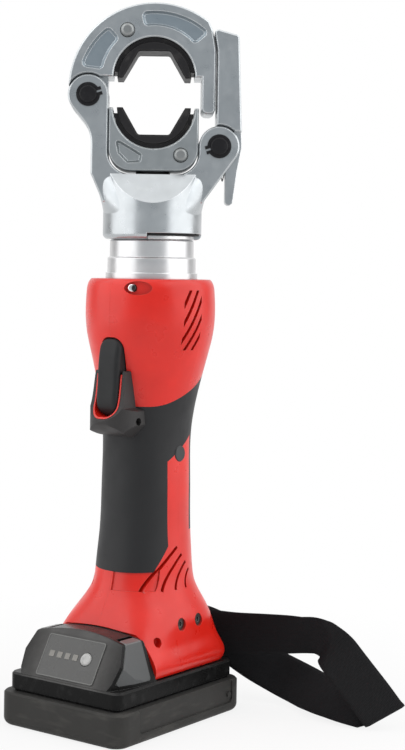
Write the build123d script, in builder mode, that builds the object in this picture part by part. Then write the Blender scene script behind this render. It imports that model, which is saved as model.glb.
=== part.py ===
from build123d import *
import math
import os

os.makedirs("parts", exist_ok=True)

# Cordless hydraulic press tool, standing on its battery. Millimetres, +Z up along the tool axis.
# The head lies in the XZ plane and faces -Y. The handle is turned about the axis by body_turn.

# Fits and clearances
run_gap = 0.05
slide_gap = 0.3
joint_gap = 0.5

# Turn of the handle against the head
body_turn = 37.5

# Battery pack
pack_width = 79.0
pack_front = 75.2
pack_rear = 32.6
pack_corner = 5.0
tray_height = 19.0
tray_overhang = 4.4
tray_corner = 9.5
tray_edge = 4.2
tray_wall = 2.4
band_height = 10.5
seam_height = 1.6
seam_depth = 1.6
hump_height = 25.8
hump_crown = 3.3
hump_rear = 40.0
hump_front_half = 30.5
hump_slope_rise = 23.0
hump_slope_run = 14.0
hump_bevel_run = 3.5
hump_side_lean = 8.0
hump_rear_lean = 3.0
hump_round = 2.0
rail_half = 22.0
rail_neck_half = 19.0
rail_height = 11.0
rail_lip = 6.0
rail_gap = 0.4
rail_rear = 21.0
cell_radius = 9.2
cell_length = 65.0
cell_count = 5
cell_wall = 0.4
board_thick = 1.6
panel_width = 41.0
panel_length = 24.5
panel_thick = 1.0
panel_proud = 0.4
led_size = 3.4
led_spot = (-5.6, 1.0)
gauge_button_spot = (10.4, 1.2)
led_pitch = 5.6
led_count = 4
gauge_button_radius = 3.6
gauge_button_travel = 0.8
gauge_button_depth = 3.4
release_front = 70.6
release_top_front = 57.4
release_rear = 45.0
release_foot_rise = 2.0
release_height = 21.6
release_proud = 0.6
release_seat = 26.0
release_travel = 2.5
tray_screw_radius = 3.0
tray_screw_depth = 5.5
tray_screw_inset = 6.0

# Housing
base_gap = 0.6
rim_height = 251.0
shell_wall = 4.0
grip_thick = 1.6
base_floor = 13.5
rim_plate = 4.0
lip_gap = 0.5

# Hydraulic cylinder and collar
tube_radius = 21.0
tube_bore = 16.0
tube_base = 8.0
collar_top_radius = 24.5
collar_mid_radius = 25.8
collar_flare_radius = 26.8
collar_top_height = 10.0
collar_flare_height = 3.5
spigot_radius = 20.0
spigot_depth = 14.0
swivel_ring_height = 2.0
swivel_ring_depth = 1.1

# Head
head_floor = 274.0
head_radius = 28.8
head_thick = 30.0
edge_break = 0.8
rim_round = 3.0
rim_relief = 3.5
bore_height = 28.0
slot_floor = 311.5
slot_round = 13.0
facet_drop = 17.0
pin_reach = 38.0
left_pin_height = 357.0
right_pin_height = 328.0
pin_radius = 5.0
pin_proud = 2.2
ear_radius = 11.7
arm_half = 36.0
arm_height = 311.5
waist_height = 328.0
flank_height = 295.0
shoulder_foot = 287.0
shoulder_squareness = 5.0
shoulder_inset = 0.6
tongue_thick = 13.4
tongue_radius = 11.2
clevis_gap = 0.6
circlip_thick = 1.2
circlip_width = 2.4
circlip_groove = 0.5

# Dies and their seats
die_face = 367.0
stroke = 17.0
die_seat = 23.6
die_gap = 0.15
die_thick = 26.0
hex_flat = 15.6
nest_round = 2.0
die_rim = 2.1
rim_step = 1.5
rim_end = 3.4
face_relief = 0.6
arch_centre_height = 360.7
arch_radius = 49.8
leg_inner = 27.5
leg_outer = 35.3
leg_foot = 346.6
pocket_border = 4.8
pocket_inner = 6.4
pocket_depth = 2.5
pocket_taper = 30.0
button_reach = 31.6
button_radius = 4.0
button_depth = 7.0
button_proud = 2.6
button_travel = 2.0
button_angle = 120.0

# Latch
latch_gap = 1.0
latch_top = 396.2
latch_top_drop = 4.0
latch_right = 51.2
latch_top_right = 48.8
latch_round = 2.0
latch_hub = 10.6
tail_inner = 42.0
tail_stop = 34.0
tail_pocket = 31.2
tail_foot = 294.5
tail_width = 4.4
latch_spring_radius = 2.6
latch_spring_drop = 17.0
latch_spring_seat = 4.0
latch_wire = 0.7

# Ram
rod_radius = 10.0
rod_seat = 8.0
piston_height = 12.0
piston_seal_height = 3.0
piston_seal_depth = 2.0
holder_gap = 1.7
wiper_width = 2.5
wiper_height = 3.0
return_wire = 2.2

# Pump and drive
pump_radius = 27.0
pump_lower_radius = 20.0
pump_step = 206.0
pump_top = 246.0
pump_lower_length = 22.0
chamber_radius = 13.4
journal_length = 4.0
bladder_wall = 3.6
bladder_length = 21.0
plunger_radius = 4.0
eccentric_throw = 1.5
eccentric_radius = 8.0
bearing_width = 3.0
eccentric_height = 8.0
shaft_radius = 5.0
journal_radius = 4.0
relief_radius = 5.0
relief_length = 12.0
motor_radius = 18.0
motor_length = 56.0
motor_wall = 2.0
motor_end = 3.0
gear_case_radius = 20.0
gear_case_floor = 4.0
gear_length = 9.0
gear_gap = 0.6
carrier_thick = 3.5
cover_thick = 3.0
gear_module = 0.9
sun_teeth = 12
planet_teeth = 12
gear_backlash = 0.24
planet_count = 3
planet_pin = 2.0
rotor_radius = 11.5
rotor_shaft = 2.5
rib_thick = 3.0

# Trigger, guard and switch
trigger_width = 15.0
trigger_foot = 173.5
trigger_pivot_height = 213.0
trigger_pivot_front = 33.2
trigger_head_rise = 4.4
trigger_round = 6.0
trigger_edge = 3.0
trigger_pin_radius = 1.1
trigger_pin_seat = 1.2
trigger_front = 41.0
trigger_spring_radius = 2.2
guard_half = 15.5
guard_front = 45.5
guard_floor = 161.0
guard_top = 176.5
horn_top = 199.0
horn_width = 2.7
window_lip = 0.9
switch_width = 14.0
switch_thick = 6.0
switch_foot = 183.0
switch_height = 19.5

# Electrics in the base
terminal_width = 34.0
terminal_length = 22.0
terminal_height = 9.0
board_width = 32.0
board_height = 44.0
board_seat = 4.0
blade_thick = 0.8
blade_length = 10.0
blade_pitch = 9.0
blade_count = 4
blade_rear = 12.0
blade_foot = 33.0
blade_seat = 4.0

# Vents
vent_count = 5
vent_slot = 1.8
vent_slope = 62.0
vent_pitch = 10.2
vent_middle = -8.0
vent_height = 228.0
vent_width = 13.0
vent_tall = 34.0
low_vent_count = 4
low_vent_foot = 74.0

# Shallow recess under the grip
recess_depth = 0.9
recess_foot = 74.5
recess_middle = 12.0
recess_width = 22.0

# Light, plug, screws and strap
light_angle = 26.0
light_height = 246.0
light_half_width = 8.0
light_half_height = 3.9
light_depth = 3.0
lamp_radius = 2.8
lamp_length = 7.0
lamp_shift = 4.0
plug_radius = 4.6
plug_thick = 2.4
plug_height = 151.0
screw_head = 3.6
screw_head_thick = 2.6
screw_shank = 1.7
strap_width = 25.0
strap_thick = 1.6
strap_pin_radius = 2.0
strap_pin_rear = 28.0
strap_slot_half = 14.0
strap_rise = 45.0

# Planes of the turned handle: right side, back, and the views from above, the side and the front
turn = math.radians(body_turn)
right = Vector(math.cos(turn), -math.sin(turn), 0)
back = Vector(math.sin(turn), math.cos(turn), 0)
BODY = Plane(origin=(0, 0, 0), x_dir=right, z_dir=(0, 0, 1))
SIDE = Plane(origin=(0, 0, 0), x_dir=back, z_dir=right)
FACE = Plane(origin=(0, 0, 0), x_dir=right, z_dir=-back)
HEAD = Plane.XZ

# Heights that follow from the pack
case_top = tray_height + band_height
foot = case_top + base_gap
floor_top = foot + base_floor
hump_top = case_top + hump_height
hump_side_top = hump_top - hump_crown
hump_half = pack_width / 2 - 1.0
hump_top_half = hump_half - hump_side_lean
crown_radius = (hump_top_half ** 2 + hump_crown ** 2) / (2 * hump_crown)
rail_top = case_top + rail_height


def on_circle(centre, radius, angle):
    """Point of a circle in a sketch, at an angle in degrees."""
    turned = math.radians(angle)
    return (centre[0] + radius * math.cos(turned), centre[1] + radius * math.sin(turned))


def body_point(side, rear, height):
    """Row coordinates of a point given by its distance to the right, to the back and up."""
    return right * side + back * rear + Vector(0, 0, height)


def coil(plane, length, radius, wire, turns):
    """Open coil spring of square wire that stands on a plane."""
    with BuildPart() as spring:
        with BuildLine() as path:
            Helix(pitch=(length - wire) / turns, height=length - wire, radius=radius - wire / 2,
                  center=plane.origin + plane.z_dir * (wire / 2), direction=plane.z_dir)
        with BuildSketch(path.line ^ 0):
            Rectangle(wire, wire)
        sweep(is_frenet=True)
    return spring.part


# Body form: lofted closed curves that run from an ellipse at the handle to a rounded oblong at the foot

section_points = 24


def rounded_loop(half_width, half_depth, centre, squareness):
    """Points around a closed curve that lies between an ellipse and an oblong."""
    points = []
    for step in range(section_points):
        angle = 2 * math.pi * step / section_points
        across = math.cos(angle)
        along = math.sin(angle)
        reach = (abs(across) ** squareness + abs(along) ** squareness) ** (-1 / squareness)
        points.append((half_width * reach * across, centre + half_depth * reach * along))
    return points


def body_stations():
    """Height, distance to the front and to the back, half width and squareness of each section."""
    return [
        (foot, 50.0, 31.0, 36.8, 9.0),
        (foot + 14, 49.0, 31.5, 36.0, 6.0),
        (foot + 25, 45.5, 32.5, 34.6, 3.4),
        (foot + 33, 41.0, 32.0, 32.6, 2.6),
        (foot + 45, 34.8, 28.6, 27.4, 2.15),
        (foot + 57, 32.4, 26.5, 26.2, 2.1),
        (foot + 75, 30.3, 25.3, 25.0, 2.1),
        (foot + 105, 29.0, 24.6, 24.5, 2.1),
        (foot + 134, 28.9, 24.9, 24.6, 2.1),
        (foot + 156, 31.4, 28.8, 28.2, 2.05),
        (rim_height - 43, 35.0, 34.0, 34.0, 2.0),
        (rim_height - 31, 37.5, 36.5, 36.8, 2.0),
        (rim_height - 20, 38.3, 37.3, 37.8, 2.0),
        (rim_height - 8, 38.0, 37.0, 37.4, 2.0),
        (rim_height - 2, 36.8, 35.8, 36.2, 2.0),
        (rim_height, 35.2, 34.2, 34.6, 2.0),
    ]


def body_form(inset):
    """Solid inside the housing's outer surface, drawn in by an inset."""
    with BuildPart() as form:
        for height, front, rear, half_width, squareness in body_stations():
            centre = (rear - front) / 2
            half_depth = (rear + front) / 2 - inset
            with BuildSketch(BODY.offset(height)):
                with BuildLine():
                    Spline(*rounded_loop(half_width - inset, half_depth, centre, squareness), periodic=True)
                make_face()
        loft()
    return form.part


def body_slice(form, low, high):
    """Part of a body form between two heights."""
    with BuildPart() as piece:
        add(form)
        split(bisect_by=Plane.XY.offset(low), keep=Keep.TOP)
        split(bisect_by=Plane.XY.offset(high), keep=Keep.BOTTOM)
    return piece.part


outer_form = body_form(0)
seat_form = body_form(grip_thick)
cavity_form = body_form(shell_wall)

# Yoke: round lower body with the cylinder bore, two arms, and ears for the arch pin and the latch pin
left_pin = (-pin_reach, left_pin_height)
right_pin = (pin_reach, right_pin_height)
slot_half = pin_reach - ear_radius
clevis_half = tongue_thick / 2 + slide_gap
ear_hollow = ear_radius + clevis_gap


def yoke_shoulder():
    """Shoulder that widens from the round body to the foot of the arms."""
    middle = (shoulder_foot + arm_height) / 2
    middle_half = (head_radius + arm_half) / 2 - 1.5
    middle_depth = (head_radius + head_thick / 2) / 2
    with BuildPart() as shoulder:
        for height, half_width, half_depth, squareness in (
            (shoulder_foot, head_radius - shoulder_inset, head_radius - shoulder_inset, 2),
            (middle, middle_half, middle_depth, (2 + shoulder_squareness) / 2),
            (arm_height, arm_half - shoulder_inset, head_thick / 2 - shoulder_inset, shoulder_squareness),
        ):
            with BuildSketch(Plane.XY.offset(height)):
                with BuildLine():
                    Spline(*rounded_loop(half_width, half_depth, 0, squareness), periodic=True)
                make_face()
        loft()
    return shoulder.part


with BuildPart() as yoke:
    with BuildSketch(HEAD):
        with BuildLine():
            flank = Line((-head_radius, flank_height), (-arm_half, arm_height))
            arm = Line(flank @ 1, (-arm_half, waist_height))
            ear_start = on_circle(left_pin, ear_radius, 215)
            Spline(arm @ 1, ear_start, tangents=((0, 1), (-0.57, 0.82)))
            left_ear = ThreePointArc(ear_start, on_circle(left_pin, ear_radius, 110),
                                     on_circle(left_pin, ear_radius, 0))
            slot = FilletPolyline(left_ear @ 1, (-slot_half, slot_floor), (slot_half, slot_floor),
                                  on_circle(right_pin, ear_radius, 180), radius=slot_round)
            right_ear = ThreePointArc(slot @ 1, on_circle(right_pin, ear_radius, 70),
                                      on_circle(right_pin, ear_radius, -40))
            Polyline(right_ear @ 1, (head_radius, flank_height), (-head_radius, flank_height))
        make_face()
    extrude(amount=head_thick / 2, both=True)
    chamfer(yoke.faces().filter_by(Axis.Y).edges(), edge_break)
    with BuildSketch(Plane.XY.offset(head_floor)):
        Circle(head_radius)
    extrude(amount=slot_floor - head_floor)
    add(yoke_shoulder())
    with BuildSketch(Plane.YZ):
        with BuildLine():
            Polyline((head_thick / 2, slot_floor + 1), (head_thick / 2, slot_floor),
                     (head_radius, slot_floor - facet_drop), (head_radius + 1, slot_floor - facet_drop),
                     (head_radius + 1, slot_floor + 1), close=True)
        make_face()
        mirror(about=Plane.YZ)
    extrude(amount=head_radius, both=True, mode=Mode.SUBTRACT)
    fillet(yoke.edges().filter_by(GeomType.CIRCLE).group_by(Axis.Z)[0], rim_round)
    with BuildSketch(HEAD):
        with Locations(left_pin):
            Circle(ear_hollow)
        with Locations((-pin_reach, left_pin_height + ear_radius)):
            Rectangle(2 * ear_hollow, 2 * ear_radius)
        with Locations(right_pin):
            Circle(ear_hollow)
        with BuildLine():
            Polyline(right_pin, (pin_reach + 2 * ear_hollow, right_pin_height),
                     (pin_reach + 2 * ear_hollow, head_floor), (tail_pocket, head_floor),
                     (tail_pocket, flank_height + 5), (tail_stop, right_pin_height - latch_spring_drop + 1),
                     close=True)
        make_face()
    extrude(amount=clevis_half, both=True, mode=Mode.SUBTRACT)
    with BuildSketch(HEAD):
        with Locations(left_pin, right_pin):
            Circle(pin_radius + run_gap)
    extrude(amount=head_thick, both=True, mode=Mode.SUBTRACT)
    with BuildSketch(Plane.XY.offset(head_floor)):
        Circle(tube_radius + run_gap)
    extrude(amount=bore_height, mode=Mode.SUBTRACT)
    with BuildSketch(Plane.XY.offset(head_floor)):
        Circle(rod_radius + run_gap)
    extrude(amount=slot_floor - head_floor, mode=Mode.SUBTRACT)
    with BuildSketch(Plane.XY.offset(slot_floor - wiper_height)):
        Circle(rod_radius + wiper_width + run_gap)
    extrude(amount=wiper_height, mode=Mode.SUBTRACT)
    with BuildSketch(Plane.XY.offset(head_floor + bore_height / 2 - swivel_ring_height / 2 - run_gap)):
        Circle(tube_radius + swivel_ring_depth + run_gap)
    extrude(amount=swivel_ring_height + 2 * run_gap, mode=Mode.SUBTRACT)
    with BuildSketch(HEAD):
        with Locations((head_radius / 2, head_floor)):
            Rectangle(head_radius + 6, 2 * rim_relief)
    extrude(amount=head_radius, mode=Mode.SUBTRACT)
    with BuildSketch(Plane.YZ.offset(tail_stop - latch_spring_seat)):
        with Locations((0, right_pin_height - latch_spring_drop)):
            Circle(latch_spring_radius + slide_gap)
    extrude(amount=2 * latch_spring_seat, mode=Mode.SUBTRACT)
yoke.part.label = "yoke"
export_step(yoke.part, "parts/yoke.step")

# Pins of the head, with a groove at each end for a circlip
pin_half = head_thick / 2 + pin_proud
circlip_inner = pin_radius - circlip_groove


def grooved_pin(centre):
    """Pin through the head with a circlip groove outside each face."""
    with BuildPart() as pin:
        with BuildSketch(HEAD):
            with Locations(centre):
                Circle(pin_radius)
        extrude(amount=pin_half, both=True)
        chamfer(pin.edges().filter_by(GeomType.CIRCLE), circlip_groove)
        for face in (-1, 1):
            with BuildSketch(HEAD.offset(face * (head_thick + circlip_thick) / 2)):
                with Locations(centre):
                    Circle(pin_radius)
                    Circle(circlip_inner, mode=Mode.SUBTRACT)
            extrude(amount=circlip_thick / 2, both=True, mode=Mode.SUBTRACT)
    return pin.part


with BuildPart() as arch_pin:
    add(grooved_pin(left_pin))
arch_pin.part.label = "arch_pin"
export_step(arch_pin.part, "parts/arch_pin.step")

with BuildPart() as latch_pin:
    add(grooved_pin(right_pin))
latch_pin.part.label = "latch_pin"
export_step(latch_pin.part, "parts/latch_pin.step")

circlip_outer = circlip_inner + circlip_width

with BuildPart() as pin_circlips:
    for face in (-1, 1):
        for centre, lug_angle in ((left_pin, 17), (right_pin, 198)):
            with BuildSketch(HEAD.offset(face * (head_thick + circlip_thick) / 2)):
                with Locations(centre):
                    Circle(circlip_outer)
                with Locations(on_circle(centre, circlip_outer, lug_angle)):
                    Rectangle(circlip_width, 2 * circlip_width, rotation=lug_angle)
                with Locations(centre):
                    Circle(circlip_inner, mode=Mode.SUBTRACT)
                with Locations(on_circle(centre, circlip_outer, lug_angle)):
                    Rectangle(3 * circlip_width, circlip_width / 2, rotation=lug_angle, mode=Mode.SUBTRACT)
            extrude(amount=circlip_thick / 2, both=True)
pin_circlips.part.label = "pin_circlips"
export_step(pin_circlips.part, "parts/pin_circlips.step")

# Arch: ring segment over the upper die, hinged on the left ear by a tongue, with a leg on the right
arch_centre = (0.5, arch_centre_height)
die_centre = (0, die_face)
arch_floor = die_face + face_relief
pocket_band = die_seat + pocket_inner
upper_button = on_circle(die_centre, button_reach, button_angle)
button_seat = button_depth + button_travel + slide_gap

with BuildPart() as arch:
    with BuildSketch(HEAD):
        with Locations(arch_centre):
            Circle(arch_radius)
        with BuildLine():
            Polyline((-pin_reach, arch_floor), (2 * arch_radius, arch_floor), (2 * arch_radius, head_floor),
                     (-2 * arch_radius, head_floor), (-2 * arch_radius, left_pin_height),
                     (-pin_reach, left_pin_height), close=True)
        make_face(mode=Mode.SUBTRACT)
        with BuildLine():
            Polyline(on_circle(arch_centre, arch_radius, 52), (leg_outer - 1.9, latch_top - 1.3),
                     (leg_outer, latch_top - 12.8), (leg_outer, arch_floor - 1),
                     (2 * arch_radius, arch_floor - 1), (2 * arch_radius, latch_top + 20),
                     on_circle(arch_centre, 2 * arch_radius, 52), close=True)
        make_face(mode=Mode.SUBTRACT)
        with BuildLine():
            leg = FilletPolyline((leg_outer, arch_floor + 1), (leg_outer, leg_foot), (leg_inner, leg_foot),
                                 (leg_inner, arch_floor + 1), radius=3)
            Line(leg @ 1, leg @ 0)
        make_face()
        with Locations(left_pin):
            Circle(ear_hollow, mode=Mode.SUBTRACT)
        with Locations(die_centre):
            Circle(die_seat, mode=Mode.SUBTRACT)
    extrude(amount=head_thick / 2, both=True)
    chamfer(arch.faces().filter_by(Axis.Y).edges(), edge_break)
    for face in (-1, 1):
        for sector in ((172, 132), (102, 40)):
            with BuildSketch(HEAD.offset(face * head_thick / 2)) as pocket:
                with BuildLine():
                    Polyline(die_centre, on_circle(die_centre, 2 * arch_radius, sector[0]),
                             on_circle(die_centre, 2 * arch_radius, sector[1]), close=True)
                make_face()
                with Locations(arch_centre):
                    Circle(arch_radius - pocket_border, mode=Mode.INTERSECT)
                with Locations(die_centre):
                    Circle(pocket_band, mode=Mode.SUBTRACT)
                fillet(pocket.vertices(), 3)
            extrude(amount=-face * pocket_depth, taper=pocket_taper, mode=Mode.SUBTRACT)
    with BuildSketch(HEAD) as tongue:
        with Locations(left_pin):
            Circle(tongue_radius)
        with Locations((3 - pin_reach, arch_floor + 7)):
            Circle(tongue_radius - 2.5)
        make_hull()
    extrude(amount=tongue_thick / 2, both=True)
    with BuildSketch(HEAD):
        with Locations(left_pin):
            Circle(pin_radius + run_gap)
    extrude(amount=head_thick, both=True, mode=Mode.SUBTRACT)
    with BuildSketch(HEAD.offset(head_thick / 2)):
        with Locations(upper_button):
            Circle(button_radius + slide_gap)
    extrude(amount=-button_seat, mode=Mode.SUBTRACT)
arch.part.label = "arch"
export_step(arch.part, "parts/arch.step")

# Dies: half rings with half a hexagon nest each
die_radius = die_seat - die_gap
lower_die_face = die_face - stroke
lower_die_centre = (0, lower_die_face)


def half_die(centre, side):
    """Half ring with half a hexagon nest, in a lower rim that stops short of the split."""
    with BuildPart() as rim:
        with BuildSketch(HEAD):
            with Locations(centre):
                Circle(die_radius)
                Circle(die_radius - 1.5 * die_rim, mode=Mode.SUBTRACT)
            with Locations((0, centre[1] + side * (rim_end - die_seat))):
                Rectangle(2 * die_seat, 2 * die_seat, mode=Mode.SUBTRACT)
        extrude(amount=die_thick / 2 - rim_step, both=True)
    with BuildPart() as die:
        with BuildSketch(HEAD) as outline:
            with Locations(centre):
                Circle(die_radius - die_rim)
                RegularPolygon(hex_flat, 6, major_radius=False, mode=Mode.SUBTRACT)
            with Locations((0, centre[1] - side * die_seat)):
                Rectangle(2 * die_seat, 2 * die_seat, mode=Mode.SUBTRACT)
            nest_corners = outline.vertices().filter_by(lambda corner: abs(corner.X) < hex_flat)
            fillet(nest_corners, nest_round)
        extrude(amount=die_thick / 2, both=True)
        chamfer(die.faces().filter_by(Axis.Y).edges(), edge_break)
        add(rim.part)
    return die.part


with BuildPart() as upper_die:
    add(half_die(die_centre, 1))
upper_die.part.label = "upper_die"
export_step(upper_die.part, "parts/upper_die.step")

with BuildPart() as lower_die:
    add(half_die(lower_die_centre, -1))
lower_die.part.label = "lower_die"
export_step(lower_die.part, "parts/lower_die.step")

# Lower die holder, carried by the ram rod
holder_half = slot_half - slide_gap
holder_floor = slot_floor + holder_gap
holder_top = lower_die_face - face_relief + 0.2
lower_button = on_circle(lower_die_centre, button_reach, button_angle - 180)

with BuildPart() as lower_die_holder:
    with BuildSketch(HEAD):
        with BuildLine():
            cradle = FilletPolyline((-holder_half, holder_top), (-holder_half, holder_floor),
                                    (holder_half, holder_floor), (holder_half, holder_top),
                                    radius=slot_round - slide_gap)
            Line(cradle @ 1, cradle @ 0)
        make_face()
        with Locations(lower_die_centre):
            Circle(die_seat, mode=Mode.SUBTRACT)
    extrude(amount=head_thick / 2, both=True)
    chamfer(lower_die_holder.faces().filter_by(Axis.Y).edges(), edge_break)
    for face in (-1, 1):
        with BuildSketch(HEAD.offset(face * head_thick / 2)) as pocket:
            with BuildLine():
                Polyline((4 - holder_half, holder_floor + 18), (7.2 - holder_half, holder_floor + 17.2),
                         (19.6 - holder_half, holder_floor + 9.8), (19 - holder_half, holder_floor + 5),
                         (11 - holder_half, holder_floor + 4.4), (5.4 - holder_half, holder_floor + 10),
                         close=True)
            make_face()
            fillet(pocket.vertices(), 1.4)
        extrude(amount=-face * pocket_depth, taper=pocket_taper, mode=Mode.SUBTRACT)
    with BuildSketch(Plane.XY.offset(holder_floor)):
        Circle(rod_radius)
    extrude(amount=rod_seat, mode=Mode.SUBTRACT)
    with BuildSketch(HEAD.offset(head_thick / 2)):
        with Locations(lower_button):
            Circle(button_radius + slide_gap)
    extrude(amount=-button_seat, mode=Mode.SUBTRACT)
lower_die_holder.part.label = "lower_die_holder"
export_step(lower_die_holder.part, "parts/lower_die_holder.step")

# Die buttons: domed pins that push in to free the dies


def domed_button(centre):
    """Domed button that stands out of the front face of the head."""
    with BuildPart() as button:
        with BuildSketch(HEAD.offset(head_thick / 2 - button_depth)):
            with Locations(centre):
                Circle(button_radius)
        extrude(amount=button_depth + button_proud)
        fillet(button.edges().group_by(Axis.Y)[0], button_proud - 0.4)
    return button.part


with BuildPart() as upper_die_button:
    add(domed_button(upper_button))
upper_die_button.part.label = "upper_die_button"
export_step(upper_die_button.part, "parts/upper_die_button.step")

with BuildPart() as lower_die_button:
    add(domed_button(lower_button))
lower_die_button.part.label = "lower_die_button"
export_step(lower_die_button.part, "parts/lower_die_button.step")

# Latch: bar beside the arch leg, hub on the right pin, thumb tail below, and its spring
latch_inner = leg_outer + latch_gap

with BuildPart() as latch:
    with BuildSketch(HEAD) as bar:
        with BuildLine():
            bar_top = Line((leg_outer - 1.2, latch_top), (latch_top_right, latch_top - latch_top_drop))
            Polyline(bar_top @ 1, (latch_right, right_pin_height), (latch_inner, right_pin_height),
                     (latch_inner, latch_top - 21), (leg_outer + 0.9, latch_top - 12.6), bar_top @ 0)
        make_face()
        fillet(bar.vertices().sort_by(Axis.Y)[-2:], latch_round)
        with Locations(right_pin):
            Circle(ear_hollow, mode=Mode.SUBTRACT)
        with Locations((latch_inner, right_pin_height)):
            Rectangle(4 * ear_radius, 2 * (ear_radius - 3), mode=Mode.SUBTRACT)
    extrude(amount=head_thick / 2, both=True)
    chamfer(latch.faces().filter_by(Axis.Y).edges(), edge_break)
    with BuildSketch(HEAD):
        with Locations(right_pin):
            Circle(latch_hub)
        with BuildLine():
            Polyline((latch_inner, leg_foot - 3), (latch_right - 0.6, leg_foot - 3),
                     (latch_right, right_pin_height), (tail_inner + 6.6, right_pin_height - 14),
                     (tail_inner + tail_width, tail_foot + tail_width / 2),
                     (tail_inner, tail_foot + tail_width / 2), (tail_inner, right_pin_height - 9), right_pin,
                     close=True)
        make_face()
        with Locations((tail_inner + tail_width / 2, tail_foot + tail_width / 2)):
            Circle(tail_width / 2)
        with Locations(right_pin):
            Circle(pin_radius + run_gap, mode=Mode.SUBTRACT)
    extrude(amount=tongue_thick / 2, both=True)
latch.part.label = "latch"
export_step(latch.part, "parts/latch.step")

spring_height = right_pin_height - latch_spring_drop
spring_seat = tail_stop - latch_spring_seat

with BuildPart() as latch_spring:
    add(coil(Plane(origin=(spring_seat, 0, spring_height), z_dir=(1, 0, 0)), tail_inner - spring_seat,
             latch_spring_radius, latch_wire, 4))
latch_spring.part.label = "latch_spring"
export_step(latch_spring.part, "parts/latch_spring.step")

# Ram: piston and rod in one, its seal, the wiper in the yoke and the return spring
bore_floor = rim_height + tube_base
piston_foot = bore_floor + joint_gap
piston_top = piston_foot + piston_height
piston_radius = tube_bore - run_gap
seal_foot = piston_foot + (piston_height - piston_seal_height) / 2
bore_top = head_floor + bore_height

with BuildPart() as ram:
    with BuildSketch(Plane.XY.offset(piston_foot)):
        Circle(piston_radius)
    extrude(amount=piston_height)
    chamfer(ram.edges().filter_by(GeomType.CIRCLE), edge_break)
    with BuildSketch(Plane.XY.offset(seal_foot)):
        Circle(piston_radius)
        Circle(piston_radius - piston_seal_depth, mode=Mode.SUBTRACT)
    extrude(amount=piston_seal_height, mode=Mode.SUBTRACT)
    with BuildSketch(Plane.XY.offset(piston_foot)):
        Circle(rod_radius)
    extrude(amount=holder_floor + rod_seat - piston_foot)
ram.part.label = "ram"
export_step(ram.part, "parts/ram.step")

with BuildPart() as piston_seal:
    with BuildSketch(Plane.XY.offset(seal_foot)):
        Circle(piston_radius)
        Circle(piston_radius - piston_seal_depth, mode=Mode.SUBTRACT)
    extrude(amount=piston_seal_height)
piston_seal.part.label = "piston_seal"
export_step(piston_seal.part, "parts/piston_seal.step")

with BuildPart() as rod_wiper:
    with BuildSketch(Plane.XY.offset(slot_floor - wiper_height)):
        Circle(rod_radius + wiper_width)
        Circle(rod_radius + run_gap, mode=Mode.SUBTRACT)
    extrude(amount=wiper_height)
rod_wiper.part.label = "rod_wiper"
export_step(rod_wiper.part, "parts/rod_wiper.step")

with BuildPart() as return_spring:
    add(coil(Plane.XY.offset(piston_top), bore_top - piston_top, piston_radius - 2 * slide_gap,
             return_wire, 3))
return_spring.part.label = "return_spring"
export_step(return_spring.part, "parts/return_spring.step")

# Cylinder: tube that the head turns on, stepped collar above the housing, spigot in the pump block
collar_top = head_floor - slide_gap
collar_step = collar_top - collar_top_height
flare_top = rim_height + collar_flare_height
tube_top = bore_top - slide_gap
spigot_foot = rim_height - spigot_depth
ring_height = head_floor + bore_height / 2
outlet_radius = 2.0

with BuildPart() as cylinder:
    with BuildSketch(Plane.XY.offset(spigot_foot)):
        Circle(spigot_radius)
    extrude(amount=spigot_depth)
    with BuildSketch(Plane.XY.offset(rim_height)):
        Circle(collar_flare_radius)
    extrude(amount=collar_flare_height)
    with BuildSketch(Plane.XY.offset(flare_top)):
        Circle(collar_mid_radius)
    extrude(amount=collar_step - flare_top)
    chamfer(cylinder.edges().group_by(Axis.Z)[-1], edge_break)
    with BuildSketch(Plane.XY.offset(collar_step)):
        Circle(collar_top_radius)
    extrude(amount=collar_top_height)
    chamfer(cylinder.edges().group_by(Axis.Z)[-1], edge_break)
    with BuildSketch(Plane.XY.offset(collar_top)):
        Circle(tube_radius)
    extrude(amount=tube_top - collar_top)
    with BuildSketch(Plane.XY.offset(bore_floor)):
        Circle(tube_bore)
    extrude(amount=tube_top - bore_floor, mode=Mode.SUBTRACT)
    with BuildSketch(Plane.XY.offset(spigot_foot)):
        Circle(outlet_radius)
    extrude(amount=bore_floor - spigot_foot, mode=Mode.SUBTRACT)
    with BuildSketch(Plane.XY.offset(ring_height - swivel_ring_height / 2 - run_gap)):
        Circle(tube_radius)
        Circle(tube_radius - swivel_ring_depth - run_gap, mode=Mode.SUBTRACT)
    extrude(amount=swivel_ring_height + 2 * run_gap, mode=Mode.SUBTRACT)
cylinder.part.label = "cylinder"
export_step(cylinder.part, "parts/cylinder.step")

with BuildPart() as swivel_ring:
    with BuildSketch(Plane.XY.offset(ring_height - swivel_ring_height / 2)):
        Circle(tube_radius + swivel_ring_depth)
        Circle(tube_radius - swivel_ring_depth, mode=Mode.SUBTRACT)
    extrude(amount=swivel_ring_height)
swivel_ring.part.label = "swivel_ring"
export_step(swivel_ring.part, "parts/swivel_ring.step")

# Pump: block with the eccentric chamber, one plunger, relief valve and oil bladder
pump_foot = pump_step - pump_lower_length
chamber_top = pump_step - 3.0
journal_top = pump_step + journal_length
eccentric_mid = pump_foot + pump_lower_length / 2
bearing_radius = eccentric_radius + bearing_width
plunger_tip = eccentric_throw + bearing_radius + slide_gap
relief_height = (pump_step + spigot_foot) / 2

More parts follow.
